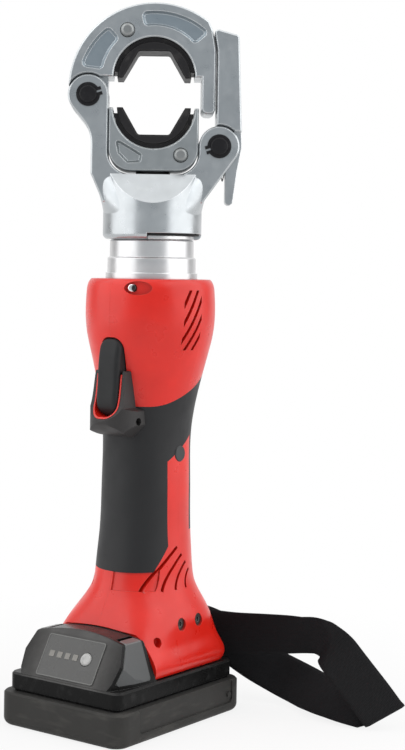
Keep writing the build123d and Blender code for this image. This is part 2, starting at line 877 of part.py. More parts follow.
with BuildPart() as pump_block:
    with BuildSketch(BODY.offset(pump_foot)):
        Circle(pump_lower_radius)
    extrude(amount=pump_lower_length)
    with BuildSketch(BODY.offset(pump_step)):
        Circle(pump_radius)
    extrude(amount=pump_top - pump_step)
    chamfer(pump_block.edges().filter_by(GeomType.CIRCLE).group_by(Axis.Z)[-1], 1)
    with BuildSketch(BODY.offset(pump_foot)):
        Circle(chamber_radius)
    extrude(amount=chamber_top - pump_foot, mode=Mode.SUBTRACT)
    with BuildSketch(BODY.offset(chamber_top)):
        Circle(journal_radius + run_gap)
    extrude(amount=journal_top + slide_gap - chamber_top, mode=Mode.SUBTRACT)
    with BuildSketch(BODY.offset(spigot_foot)):
        Circle(spigot_radius)
    extrude(amount=pump_top - spigot_foot, mode=Mode.SUBTRACT)
    with BuildSketch(BODY.offset(journal_top + 6)):
        Circle(outlet_radius)
    extrude(amount=spigot_foot - journal_top - 6, mode=Mode.SUBTRACT)
    with BuildSketch(FACE):
        with Locations((0, eccentric_mid)):
            Circle(plunger_radius)
    extrude(amount=-pump_lower_radius, mode=Mode.SUBTRACT)
    with BuildSketch(SIDE.offset(-pump_radius)):
        with Locations((0, relief_height)):
            Circle(relief_radius)
    extrude(amount=relief_length, mode=Mode.SUBTRACT)
pump_block.part.label = "pump_block"
export_step(pump_block.part, "parts/pump_block.step")

with BuildPart() as pump_plunger:
    with BuildSketch(FACE.offset(-plunger_tip)):
        with Locations((0, eccentric_mid)):
            Circle(plunger_radius)
    extrude(amount=plunger_tip - pump_lower_radius)
pump_plunger.part.label = "pump_plunger"
export_step(pump_plunger.part, "parts/pump_plunger.step")

with BuildPart() as relief_valve:
    with BuildSketch(SIDE.offset(relief_length - pump_radius)):
        with Locations((0, relief_height)):
            Circle(relief_radius)
    extrude(amount=-relief_length)
    with BuildSketch(SIDE.offset(-pump_radius)):
        with Locations((0, relief_height)):
            RegularPolygon(relief_radius - 1, 6)
    extrude(amount=-2)
relief_valve.part.label = "relief_valve"
export_step(relief_valve.part, "parts/relief_valve.step")

with BuildPart() as oil_bladder:
    with BuildSketch(BODY.offset(pump_top - 4 - bladder_length)):
        Circle(pump_radius + bladder_wall)
        Circle(pump_radius, mode=Mode.SUBTRACT)
    extrude(amount=bladder_length)
    with BuildSketch(SIDE.offset(-pump_radius - bladder_wall)):
        with Locations((0, relief_height)):
            Circle(relief_radius)
    extrude(amount=pump_radius, mode=Mode.SUBTRACT)
    fillet(oil_bladder.edges().filter_by(GeomType.CIRCLE).group_by(Axis.Z)[-1].sort_by(Edge.length)[-1:], 1.5)
oil_bladder.part.label = "oil_bladder"
export_step(oil_bladder.part, "parts/oil_bladder.step")

# Planetary reduction between motor and pump
cover_foot = pump_foot - cover_thick
gear_stack = gear_case_floor + gear_length + carrier_thick + 3 * gear_gap
gear_foot = cover_foot - gear_stack
gear_low = gear_foot + gear_case_floor + gear_gap
gear_high = gear_low + gear_length
carrier_low = gear_high + gear_gap
carrier_high = carrier_low + carrier_thick
motor_foot = gear_foot - motor_length
ring_teeth = sun_teeth + 2 * planet_teeth
planet_reach = gear_module * (sun_teeth + planet_teeth) / 2
addendum = 0.8 * gear_module
dedendum = 1.15 * gear_module
pressure_slope = math.tan(math.radians(20))


def tooth_outline(teeth, inward, start_angle):
    """Closed outline of straight-flanked teeth that point outward, or inward in a ring gear."""
    sense = -1 if inward else 1
    pitch_radius = gear_module * teeth / 2
    half_tooth = (math.pi * gear_module / 2 - gear_backlash) / 2
    root_radius = pitch_radius - sense * dedendum
    tip_radius = pitch_radius + sense * addendum
    root_half = math.degrees((half_tooth + dedendum * pressure_slope) / root_radius)
    tip_half = math.degrees((half_tooth - addendum * pressure_slope) / tip_radius)
    points = []
    for tooth in range(teeth):
        middle = start_angle + 360 * tooth / teeth
        points.append(on_circle((0, 0), root_radius, middle - root_half))
        points.append(on_circle((0, 0), tip_radius, middle - tip_half))
        points.append(on_circle((0, 0), tip_radius, middle + tip_half))
        points.append(on_circle((0, 0), root_radius, middle + root_half))
    return points


with BuildPart() as gear_case:
    with BuildSketch(BODY.offset(gear_foot)):
        Circle(gear_case_radius)
        Circle(planet_reach / 2, mode=Mode.SUBTRACT)
    extrude(amount=gear_case_floor)
    with BuildSketch(BODY.offset(gear_foot + gear_case_floor)):
        Circle(gear_case_radius)
        with BuildLine():
            Polyline(*tooth_outline(ring_teeth, True, 0), close=True)
        make_face(mode=Mode.SUBTRACT)
    extrude(amount=gear_length + 2 * gear_gap)
    with BuildSketch(BODY.offset(carrier_low)):
        Circle(gear_case_radius)
        Circle(gear_case_radius - shell_wall / 2, mode=Mode.SUBTRACT)
    extrude(amount=cover_foot - carrier_low)
gear_case.part.label = "gear_case"
export_step(gear_case.part, "parts/gear_case.step")

with BuildPart() as gear_cover:
    with BuildSketch(BODY.offset(cover_foot)):
        Circle(gear_case_radius)
        Circle(shaft_radius + run_gap, mode=Mode.SUBTRACT)
    extrude(amount=cover_thick)
gear_cover.part.label = "gear_cover"
export_step(gear_cover.part, "parts/gear_cover.step")

with BuildPart() as planet_carrier:
    with BuildSketch(BODY.offset(carrier_low)):
        Circle(planet_reach + planet_pin + 1.4)
    extrude(amount=carrier_thick)
    with BuildSketch(BODY.offset(gear_low)):
        with PolarLocations(planet_reach, planet_count):
            Circle(planet_pin)
    extrude(amount=carrier_low - gear_low)
    with BuildSketch(BODY.offset(carrier_high)):
        Circle(shaft_radius)
    extrude(amount=eccentric_mid - eccentric_height / 2 - carrier_high)
    with BuildSketch(BODY.offset(eccentric_mid - eccentric_height / 2)):
        with Locations((0, -eccentric_throw)):
            Circle(eccentric_radius)
    extrude(amount=eccentric_height)
    with BuildSketch(BODY.offset(eccentric_mid + eccentric_height / 2)):
        Circle(journal_radius)
    extrude(amount=journal_top - eccentric_mid - eccentric_height / 2)
planet_carrier.part.label = "planet_carrier"
export_step(planet_carrier.part, "parts/planet_carrier.step")

with BuildPart() as eccentric_bearing:
    with BuildSketch(BODY.offset(eccentric_mid - eccentric_height / 2)):
        with Locations((0, -eccentric_throw)):
            Circle(bearing_radius)
            Circle(eccentric_radius, mode=Mode.SUBTRACT)
    extrude(amount=eccentric_height)
eccentric_bearing.part.label = "eccentric_bearing"
export_step(eccentric_bearing.part, "parts/eccentric_bearing.step")


def planet_gear(number):
    """Planet gear on its carrier pin, with a tooth gap facing the sun."""
    angle = 360 * number / planet_count
    centre = on_circle((0, 0), planet_reach, angle)
    place = Plane(origin=body_point(centre[0], centre[1], gear_low), x_dir=right, z_dir=(0, 0, 1))
    with BuildPart() as planet:
        with BuildSketch(place):
            with BuildLine():
                Polyline(*tooth_outline(planet_teeth, False, angle + 180 / planet_teeth), close=True)
            make_face()
            Circle(planet_pin + run_gap, mode=Mode.SUBTRACT)
        extrude(amount=gear_length)
    return planet.part


with BuildPart() as planet_gear_1:
    add(planet_gear(0))
planet_gear_1.part.label = "planet_gear_1"
export_step(planet_gear_1.part, "parts/planet_gear_1.step")

with BuildPart() as planet_gear_2:
    add(planet_gear(1))
planet_gear_2.part.label = "planet_gear_2"
export_step(planet_gear_2.part, "parts/planet_gear_2.step")

with BuildPart() as planet_gear_3:
    add(planet_gear(2))
planet_gear_3.part.label = "planet_gear_3"
export_step(planet_gear_3.part, "parts/planet_gear_3.step")

# Motor: can and rotor with the sun pinion on its shaft
with BuildPart() as motor_can:
    with BuildSketch(BODY.offset(motor_foot)):
        Circle(motor_radius)
    extrude(amount=motor_length)
    chamfer(motor_can.edges().filter_by(GeomType.CIRCLE), 0.8)
    with BuildSketch(BODY.offset(motor_foot + motor_end)):
        Circle(motor_radius - motor_wall)
    extrude(amount=motor_length - 2 * motor_end, mode=Mode.SUBTRACT)
    with BuildSketch(BODY.offset(motor_foot)):
        Circle(rotor_shaft + run_gap)
    extrude(amount=motor_length, mode=Mode.SUBTRACT)
motor_can.part.label = "motor_can"
export_step(motor_can.part, "parts/motor_can.step")

core_foot = motor_foot + motor_end + 14.0
core_top = gear_foot - motor_end - 6.0

with BuildPart() as rotor:
    with BuildSketch(BODY.offset(motor_foot)):
        Circle(rotor_shaft)
    extrude(amount=gear_high - motor_foot)
    with BuildSketch(BODY.offset(core_foot)):
        Circle(rotor_radius)
        with PolarLocations(rotor_radius, 8):
            Rectangle(6, 1.6, mode=Mode.SUBTRACT)
    extrude(amount=core_top - core_foot)
    with BuildSketch(BODY.offset(motor_foot + motor_end + 3)):
        Circle(rotor_radius / 2)
    extrude(amount=core_foot - motor_foot - motor_end - 3)
    with BuildSketch(BODY.offset(gear_low)):
        with BuildLine():
            Polyline(*tooth_outline(sun_teeth, False, 0), close=True)
        make_face()
    extrude(amount=gear_length)
rotor.part.label = "rotor"
export_step(rotor.part, "parts/rotor.step")

# Trigger window: rounded opening in the shells with a thin lip that the guard fits around
window_half = trigger_width / 2 + joint_gap
window_foot = trigger_foot - joint_gap
window_top = trigger_pivot_height + trigger_head_rise + joint_gap
lip_half = window_half + window_lip


def window_solid(grow):
    """Bar through the front of the body with the window's outline, widened all round."""
    with BuildPart() as bar:
        with BuildSketch(FACE.offset(25)):
            with Locations((0, (window_foot + window_top) / 2)):
                RectangleRounded(2 * (window_half + grow), window_top - window_foot + 2 * grow,
                                 trigger_round + joint_gap + grow)
        extrude(amount=30)
    return bar.part


def guard_profile(grow):
    """Slab with the guard's side outline: a nose under the trigger that runs up into the horns."""
    with BuildPart() as slab:
        with BuildSketch(SIDE):
            with BuildLine():
                tip = -guard_front - grow
                nose = Spline((-24, guard_floor), (-33, guard_floor + 1), (tip + 2.2, guard_floor + 6.4),
                              (tip, guard_floor + 9.4), (tip + 2, guard_floor + 12.5),
                              (tip + 5.5, guard_top + 3), (tip + 7.4, horn_top - 10), (tip + 9, horn_top + 1))
                Polyline(nose @ 1, (-20, horn_top + 1), (-20, guard_floor), nose @ 0)
            make_face()
        extrude(amount=2 * guard_half, both=True)
    return slab.part


# Trigger guard: ledge under the trigger with a horn on each side of it
with BuildPart() as trigger_guard:
    with BuildSketch(FACE) as outline:
        with BuildLine():
            Polyline((-guard_half, guard_floor + 7.5), (6 - guard_half, guard_floor),
                     (guard_half - 6, guard_floor), (guard_half, guard_floor + 7.5),
                     (guard_half, guard_top), (lip_half + horn_width, guard_top + 1.5),
                     (lip_half + horn_width - 1, horn_top), (-lip_half - horn_width + 1, horn_top),
                     (-lip_half - horn_width, guard_top + 1.5), (-guard_half, guard_top), close=True)
        make_face()
        fillet(outline.vertices(), 0.7)
    extrude(amount=2 * guard_front)
    add(guard_profile(0), mode=Mode.INTERSECT)
    with BuildSketch(BODY.offset(guard_floor)):
        with Locations((0, guard_half - guard_front)):
            Circle(guard_half)
        with Locations((0, -guard_half)):
            Rectangle(2 * guard_half, 2 * (guard_front - 2 * guard_half))
    extrude(amount=horn_top - guard_floor + 2, mode=Mode.INTERSECT)
    add(outer_form, mode=Mode.SUBTRACT)
    add(window_solid(window_lip), mode=Mode.SUBTRACT)
    with BuildSketch(SIDE):
        with Locations((-30, guard_floor + 9.5)):
            Circle(2.2)
    extrude(amount=2 * guard_half, both=True, mode=Mode.SUBTRACT)
trigger_guard.part.label = "trigger_guard"
export_step(trigger_guard.part, "parts/trigger_guard.step")

# Rubber grip: thin cover let into the shells, front and back, open at the red side strips
strip_front = 12.0
strip_rear = 9.5
plug_spot = (-2, plug_height)

with BuildPart() as grip:
    add(body_slice(outer_form, foot + 50, rim_height - 30))
    add(seat_form, mode=Mode.SUBTRACT)
    with BuildSketch(SIDE):
        with BuildLine():
            brow = Spline((-24, guard_top + 2.2), (-10.5, guard_top + 5.5), (2, guard_top + 11.2),
                          (18, guard_top + 20), (45, guard_top + 33), tangents=((1, 0.02), (1, 0.3)))
            Polyline(brow @ 1, (45, 106), (strip_rear, 106), (strip_rear, 161), (-strip_front, 147),
                     (-strip_front, 99), (-21.5, 85), (-50, 84), (-50, guard_top + 2.2), brow @ 0)
        make_face()
    extrude(amount=50, both=True, mode=Mode.INTERSECT)
    with BuildSketch(SIDE):
        with Locations(plug_spot):
            Circle(plug_radius)
    extrude(amount=50, mode=Mode.SUBTRACT)
    add(window_solid(window_lip), mode=Mode.SUBTRACT)
grip.part.label = "grip"
export_step(grip.part, "parts/grip.step")

# Housing: both shells as one hollow form first, then split on the middle plane
strap_foot = strap_rise - strap_width / 2 - joint_gap
strap_top = strap_rise + strap_width / 2 + joint_gap
strap_recess = strap_pin_rear - 4.0
pin_foot = foot + base_gap
pin_top = strap_top + 3.0
slot_rear = rail_rear + base_gap
slot_lip = case_top + rail_lip - rail_gap
slot_top = rail_top + joint_gap
hump_shelf = hump_top + lip_gap
hump_wall = hump_rear - lip_gap
hump_front = pack_front - 0.6
surface_light = 37.4
light_plane = Plane(origin=(0, 0, light_height), z_dir=right * math.sin(math.radians(light_angle))
                    - back * math.cos(math.radians(light_angle)),
                    x_dir=right * math.cos(math.radians(light_angle))
                    + back * math.sin(math.radians(light_angle)))
screw_spots = ((-11.8, 55.8), (4.6, 56.0))
screw_hole_spot = (-33.4, 49.2)
screw_floor = 30.6
screw_tip = 18.0
plug_floor = 22.2

with BuildPart() as housing_fill:
    for low, bore in ((motor_foot + 6, motor_radius), (gear_foot - 8, motor_radius),
                      (gear_foot + 7, gear_case_radius), (pump_step - rib_thick, pump_lower_radius)):
        with BuildSketch(BODY.offset(low)):
            Circle(2 * pump_radius)
            Circle(bore, mode=Mode.SUBTRACT)
        extrude(amount=rib_thick)
    for low, high, front, rear, half_width in (
            (floor_top - 1, hump_shelf + 3.5, -60, 3.5 - hump_wall, 60),
            (floor_top - 1, pin_top + 1, strap_recess - 4, 60, strap_slot_half + 3),
            (window_top - 10, window_top + 1, -60, 4 - trigger_pivot_front, window_half + 4)):
        with BuildSketch(BODY.offset(low)):
            with Locations((0, (front + rear) / 2)):
                Rectangle(2 * half_width, rear - front)
        extrude(amount=high - low)
    with BuildSketch(SIDE.offset(screw_tip)):
        with Locations(*screw_spots):
            Circle(screw_head + 1.4)
    extrude(amount=screw_floor - screw_tip + 1)
    add(seat_form, mode=Mode.INTERSECT)

with BuildPart() as hump_room:
    with BuildSketch(FACE):
        with Locations((0, hump_top - crown_radius)):
            Circle(crown_radius + lip_gap)
        with Locations((0, (foot + hump_shelf) / 2)):
            Rectangle(120, hump_shelf - foot, mode=Mode.INTERSECT)
    extrude(amount=80)
    with BuildSketch(SIDE):
        with BuildLine():
            Polyline((-hump_wall, foot), (-hump_wall - hump_rear_lean, hump_shelf + 1), (-80, hump_shelf + 1),
                     (-80, foot), close=True)
        make_face()
    extrude(amount=60, both=True, mode=Mode.INTERSECT)

with BuildPart() as housing_cuts:
    with BuildSketch(BODY.offset(rim_height - rim_plate)):
        Circle(collar_mid_radius)
    extrude(amount=rim_plate)
    add(hump_room.part)
    with BuildSketch(FACE.offset(-slot_rear)):
        with Locations((0, (foot + slot_top) / 2)):
            Rectangle(2 * (rail_neck_half + rail_gap), slot_top - foot)
        with Locations((0, (slot_lip + slot_top) / 2)):
            Rectangle(2 * (rail_half + rail_gap), slot_top - slot_lip)
    extrude(amount=slot_rear + 60)
    with BuildSketch(BODY.offset(slot_top)):
        with Locations((0, blade_rear - blade_length / 2)):
            with GridLocations(blade_pitch, 1, blade_count, 1):
                Rectangle(blade_thick, blade_length)
    extrude(amount=floor_top - slot_top)
    add(window_solid(0))
    with BuildSketch(SIDE):
        with Locations((-trigger_pivot_front, trigger_pivot_height)):
            Circle(trigger_pin_radius)
    extrude(amount=window_half + trigger_pin_seat, both=True)
    with BuildSketch(SIDE):
        with Locations((strap_recess + 20, strap_rise)):
            Rectangle(40, strap_top - strap_foot)
    extrude(amount=strap_slot_half, both=True)
    with BuildSketch(BODY.offset(pin_foot)):
        with Locations((0, strap_pin_rear)):
            Circle(strap_pin_radius)
    extrude(amount=pin_top - pin_foot)
    with BuildSketch(light_plane.offset(surface_light - light_depth)):
        Ellipse(light_half_width, light_half_height)
    extrude(amount=10)
    with BuildSketch(light_plane.offset(surface_light - light_depth - lamp_length)):
        with Locations((-lamp_shift, 0)):
            Circle(lamp_radius)
    extrude(amount=lamp_length)
    with BuildSketch(SIDE.offset(screw_floor)):
        with Locations(*screw_spots):
            Circle(screw_head)
        with Locations(screw_hole_spot):
            Circle(screw_head - 0.9)
    extrude(amount=20)
    with BuildSketch(SIDE.offset(screw_tip)):
        with Locations(*screw_spots):
            Circle(screw_shank)
    extrude(amount=screw_floor - screw_tip)
    with BuildSketch(SIDE.offset(plug_floor)):
        with Locations(plug_spot):
            Circle(plug_radius)
    extrude(amount=10)
    for side in (-1, 1):
        with BuildSketch(SIDE.offset(side * 24)):
            for number in range(vent_count):
                with Locations((vent_middle, vent_height + (number - vent_count // 2) * vent_pitch)):
                    SlotOverall(60, vent_slot, rotation=vent_slope)
            with Locations((vent_middle, vent_height)):
                Rectangle(vent_width, vent_tall, mode=Mode.INTERSECT)
        extrude(amount=side * 25)
        for number in range(low_vent_count):
            foot_end = (9.7 * number - 28, low_vent_foot)
            top_end = (3.9 * number - 5.2, low_vent_foot + 24 - 4.6 * number)
            middle = ((foot_end[0] + top_end[0]) / 2 - 1.2, (foot_end[1] + top_end[1]) / 2 + 1.2)
            with BuildSketch(SIDE.offset(side * 12)):
                with BuildLine():
                    ThreePointArc(foot_end, middle, top_end)
                trace(line_width=vent_slot)
            extrude(amount=side * 30)

with BuildPart() as front_recess:
    add(body_slice(outer_form, recess_foot, foot + 56))
    add(body_form(recess_depth), mode=Mode.SUBTRACT)
    with BuildSketch(FACE):
        with Locations((recess_middle, recess_foot + 10)):
            Rectangle(recess_width, 20)
    extrude(amount=60, mode=Mode.INTERSECT)

with BuildPart() as trigger_lip:
    add(window_solid(window_lip))
    add(window_solid(0), mode=Mode.SUBTRACT)
    add(guard_profile(0.3), mode=Mode.INTERSECT)
    split(bisect_by=Plane.XY.offset(horn_top - 2), keep=Keep.BOTTOM)
    split(bisect_by=FACE.offset(28), keep=Keep.TOP)

with BuildPart() as housing:
    add(outer_form)
    add(body_slice(cavity_form, floor_top, rim_height - rim_plate), mode=Mode.SUBTRACT)
    add(housing_fill.part)
    add(grip.part, mode=Mode.SUBTRACT)
    add(housing_cuts.part, mode=Mode.SUBTRACT)
    add(front_recess.part, mode=Mode.SUBTRACT)
    add(trigger_lip.part)

with BuildPart() as right_shell:
    add(housing.part)
    split(bisect_by=SIDE, keep=Keep.TOP)
right_shell.part.label = "right_shell"
export_step(right_shell.part, "parts/right_shell.step")

with BuildPart() as left_shell:
    add(housing.part)
    split(bisect_by=SIDE, keep=Keep.BOTTOM)
left_shell.part.label = "left_shell"
export_step(left_shell.part, "parts/left_shell.step")

# Trigger: curved paddle on a cross pin, its spring, and the switch behind it
trigger_back = trigger_pivot_front - 3.0
trigger_top = trigger_pivot_height + trigger_head_rise
switch_back = pump_lower_radius + slide_gap
switch_front = switch_back + switch_thick
trigger_spring_height = switch_foot + switch_height - 3.5

with BuildPart() as trigger:
    with BuildSketch(SIDE.offset(-trigger_width / 2)):
        with BuildLine():
            pull = Spline((3.6 - trigger_front, trigger_top), (1.4 - trigger_front, trigger_pivot_height - 4),
                          (-trigger_front, trigger_pivot_height - 23), (0.6 - trigger_front, trigger_foot + 4),
                          (3.4 - trigger_front, trigger_foot))
            Polyline(pull @ 1, (-trigger_back - 0.4, trigger_foot), (-trigger_back, trigger_pivot_height + 2),
                     (-trigger_back - 1.5, trigger_top), pull @ 0)
        make_face()
    extrude(amount=trigger_width)
    with BuildSketch(FACE.offset(trigger_back - 5)):
        with Locations((0, (trigger_foot + trigger_top) / 2)):
            RectangleRounded(trigger_width, trigger_top - trigger_foot, trigger_round)
    extrude(amount=30, mode=Mode.INTERSECT)
    fillet(trigger.faces().filter_by(GeomType.EXTRUSION).sort_by(SortBy.AREA)[-1].edges(), trigger_edge)
    with BuildSketch(SIDE):
        with Locations((-trigger_pivot_front, trigger_pivot_height)):
            Circle(trigger_pin_radius + run_gap)
    extrude(amount=trigger_width, both=True, mode=Mode.SUBTRACT)
trigger.part.label = "trigger"
export_step(trigger.part, "parts/trigger.step")

with BuildPart() as trigger_pin:
    with BuildSketch(SIDE):
        with Locations((-trigger_pivot_front, trigger_pivot_height)):
            Circle(trigger_pin_radius)
    extrude(amount=window_half + trigger_pin_seat, both=True)
trigger_pin.part.label = "trigger_pin"
export_step(trigger_pin.part, "parts/trigger_pin.step")

with BuildPart() as power_switch:
    with BuildSketch(FACE.offset(switch_back)):
        with Locations((0, switch_foot + switch_height / 2)):
            RectangleRounded(switch_width, switch_height, 1)
    extrude(amount=switch_thick)
power_switch.part.label = "power_switch"
export_step(power_switch.part, "parts/power_switch.step")

with BuildPart() as trigger_spring:
    add(coil(Plane(origin=body_point(0, -switch_front, trigger_spring_height), z_dir=-back),
             trigger_back - switch_front, trigger_spring_radius, 0.6, 2))
trigger_spring.part.label = "trigger_spring"
export_step(trigger_spring.part, "parts/trigger_spring.step")

# Electrics in the base: blades that reach down into the pack, their block, and the control board
with BuildPart() as terminal_blades:
    with BuildSketch(BODY.offset(blade_foot)):
        with Locations((0, blade_rear - blade_length / 2)):
            with GridLocations(blade_pitch, 1, blade_count, 1):
                Rectangle(blade_thick, blade_length)
    extrude(amount=floor_top + blade_seat - blade_foot)
terminal_blades.part.label = "terminal_blades"
export_step(terminal_blades.part, "parts/terminal_blades.step")

board_foot = floor_top + terminal_height - board_seat

with BuildPart() as control_board:
    with BuildSketch(BODY.offset(board_foot)):
        Rectangle(board_thick, board_width)
    extrude(amount=board_height)
    for low, depth, length, height in ((12, 5, 18, 14), (30, 4, 12, 10)):
        with BuildSketch(BODY.offset(board_foot + low)):
            with Locations(((board_thick + depth) / 2, 0)):
                Rectangle(depth, length)
        extrude(amount=height)
control_board.part.label = "control_board"
export_step(control_board.part, "parts/control_board.step")

with BuildPart() as terminal_block:
    with BuildSketch(BODY.offset(floor_top)):
        with Locations((0, 1)):
            RectangleRounded(terminal_width, terminal_length, 1.5)
    extrude(amount=terminal_height)
    add(terminal_blades.part, mode=Mode.SUBTRACT)
    add(control_board.part, mode=Mode.SUBTRACT)
    with BuildSketch(BODY.offset(board_foot)):
        Rectangle(board_thick, board_width + 2)
    extrude(amount=board_seat, mode=Mode.SUBTRACT)
terminal_block.part.label = "terminal_block"
export_step(terminal_block.part, "parts/terminal_block.step")

# Light, plug, screws and strap pin
with BuildPart() as work_light:
    with BuildSketch(light_plane.offset(surface_light - light_depth - lamp_length)):
        with Locations((-lamp_shift, 0)):
            Circle(lamp_radius)
    extrude(amount=lamp_length + 1.6)
    fillet(work_light.faces().sort_by(SortBy.DISTANCE)[-1].edges(), 1.4)
work_light.part.label = "work_light"
export_step(work_light.part, "parts/work_light.step")

with BuildPart() as screw_plug:
    with BuildSketch(SIDE.offset(plug_floor)):
        with Locations(plug_spot):
            Circle(plug_radius)
    extrude(amount=plug_thick)
    chamfer(screw_plug.edges().group_by(SortBy.DISTANCE)[-1], 0.4)
screw_plug.part.label = "screw_plug"
export_step(screw_plug.part, "parts/screw_plug.step")

with BuildPart() as housing_screws:
    with BuildSketch(SIDE.offset(screw_floor)):
        with Locations(*screw_spots):
            Circle(screw_head)
    extrude(amount=screw_head_thick)
    with BuildSketch(SIDE.offset(screw_floor + screw_head_thick - 1.4)):
        with Locations(*screw_spots):
            RegularPolygon(1.7, 6)
    extrude(amount=1.4, mode=Mode.SUBTRACT)
    with BuildSketch(SIDE.offset(screw_tip)):
        with Locations(*screw_spots):
            Circle(screw_shank)
    extrude(amount=screw_floor - screw_tip)
housing_screws.part.label = "housing_screws"
export_step(housing_screws.part, "parts/housing_screws.step")

with BuildPart() as strap_pin:
    with BuildSketch(BODY.offset(pin_foot)):
        with Locations((0, strap_pin_rear)):
            Circle(strap_pin_radius)
    extrude(amount=pin_top - pin_foot)
strap_pin.part.label = "strap_pin"
export_step(strap_pin.part, "parts/strap_pin.step")

# Wrist strap: flat webbing loop from the strap pin, out to the right, folded at its tip and back


def strap_route():
    """Points along the middle of the loop, each with the lean of the webbing to the right in degrees."""
    wrap = strap_pin_radius + strap_thick
    pin = body_point(0, strap_pin_rear, 0)
    return [
        (pin.X - wrap, pin.Y - 0.2, strap_rise, 0),
        (pin.X - 0.8 * wrap, pin.Y + 0.8 * wrap, strap_rise, 0),
        (pin.X + 0.6 * wrap, pin.Y + 1.3 * wrap, strap_rise, 0),
        (37.5, 31.5, 42.5, 0),
        (68.6, 42.0, 35.0, 0),
        (95.0, 53.5, 30.0, 6),
        (108.0, 56.5, 27.5, 12),
        (118.0, 50.0, 25.0, 20),
        (124.0, 33.0, 21.5, 32),
        (129.5, 5.0, 16.0, 48),
        (133.5, -19.0, 11.0, 62),
        (135.0, -31.0, 9.6, 66),
        (135.9, -34.4, 8.4, 66),
        (136.2, -30.2, 7.2, 66),
        (129.0, -19.0, 10.8, 50),
        (117.0, -8.0, 12.8, 27),
        (103.0, 2.0, 13.4, 8),
        (86.0, 11.0, 14.8, 0),
        (70.0, 18.5, 21.0, 0),
        (53.0, 24.0, 31.0, 0),
        (36.0, 25.5, 42.5, 0),
        (pin.X + wrap, pin.Y - 0.6 * wrap, strap_rise, 0),
        (pin.X - 0.2 * wrap, pin.Y - wrap, strap_rise, 0),
        (pin.X - wrap, pin.Y - 0.9, strap_rise, 0),
    ]


with BuildPart() as strap:
    route = strap_route()
    for number, (east, north, height, lean) in enumerate(route):
        before = Vector(*route[max(number - 1, 0)][:3])
        after = Vector(*route[min(number + 1, len(route) - 1)][:3])
        ahead = (after - before).normalized()
        broad = Vector(math.sin(math.radians(lean)), 0, math.cos(math.radians(lean)))
        broad = (broad - ahead * broad.dot(ahead)).normalized()
        with BuildSketch(Plane(origin=(east, north, height), x_dir=broad, z_dir=ahead)):
            Rectangle(strap_width, strap_thick)
    loft(ruled=True)
strap.part.label = "strap"
export_step(strap.part, "parts/strap.step")

# Battery pack: tray, upper case with the sloped front, cells, board, gauge and release buttons
pack_length = pack_front + pack_rear
pack_middle = (pack_rear - pack_front) / 2
cell_height = tray_wall + cell_wall + cell_radius
inner_half = pack_width / 2 - 3.0
inner_length = pack_length - 6.0
panel_run = (hump_slope_run ** 2 + hump_slope_rise ** 2) ** 0.5
panel_up = (back * hump_slope_run + Vector(0, 0, hump_slope_rise)) * (1 / panel_run)
panel_origin = body_point(0, hump_slope_run / 2 - hump_front, case_top + hump_slope_rise / 2)
panel_plane = Plane(origin=panel_origin, x_dir=right, z_dir=right.cross(panel_up))
recess_front = -62.0
recess_rear = 26.0

with BuildPart() as battery_tray:
    with BuildSketch(BODY):
        with Locations((0, pack_middle)):
            RectangleRounded(pack_width + 2 * tray_overhang, pack_length + 2 * tray_overhang, tray_corner)
    extrude(amount=tray_height)
    fillet(battery_tray.faces().sort_by(Axis.Z)[0].edges(), tray_edge)
    chamfer(battery_tray.faces().sort_by(Axis.Z)[-1].edges(), 1)
    with BuildSketch(BODY.offset(tray_wall)):
        with Locations((0, pack_middle)):
            RectangleRounded(2 * inner_half, inner_length, pack_corner)
    extrude(amount=tray_height, mode=Mode.SUBTRACT)
    for side in (-1, 1):
        with BuildSketch(SIDE.offset(side * (pack_width / 2 + tray_overhang))):
            with Locations(((recess_front + recess_rear) / 2, 6 + tray_height / 2)):
                RectangleRounded(recess_rear - recess_front, tray_height, 3)
            with Locations((recess_rear - 3.2, 11)):
                Circle(1.5, mode=Mode.SUBTRACT)
        extrude(amount=-side * 1.1, mode=Mode.SUBTRACT)
    with BuildSketch(BODY):
        with Locations((0, pack_middle)):
            with GridLocations(pack_width - tray_screw_inset, pack_length - 30, 2, 2):
                Circle(tray_screw_radius)
    extrude(amount=tray_screw_depth, mode=Mode.SUBTRACT)
battery_tray.part.label = "battery_tray"
export_step(battery_tray.part, "parts/battery_tray.step")

with BuildPart() as tray_screws:
    with BuildSketch(BODY.offset(joint_gap)):
        with Locations((0, pack_middle)):
            with GridLocations(pack_width - tray_screw_inset, pack_length - 30, 2, 2):
                Circle(tray_screw_radius)
                RegularPolygon(1.5, 6, mode=Mode.SUBTRACT)
    extrude(amount=tray_screw_depth - joint_gap)
tray_screws.part.label = "tray_screws"
export_step(tray_screws.part, "parts/tray_screws.step")

with BuildPart() as battery_cells:
    with BuildSketch(SIDE):
        with Locations((pack_middle, cell_height)):
            with GridLocations(2 * cell_radius + 2 * cell_wall, 1, cell_count, 1):
                Circle(cell_radius)
    extrude(amount=cell_length / 2, both=True)
battery_cells.part.label = "battery_cells"
export_step(battery_cells.part, "parts/battery_cells.step")

with BuildPart() as battery_board:
    with BuildSketch(BODY.offset(cell_height + cell_radius + cell_wall)):
        with Locations((0, pack_middle)):
            Rectangle(2 * inner_half - 8, inner_length - 8)
    extrude(amount=board_thick)
battery_board.part.label = "battery_board"
export_step(battery_board.part, "parts/battery_board.step")

release_foot = case_top + release_foot_rise
release_end = release_seat - release_travel - slide_gap


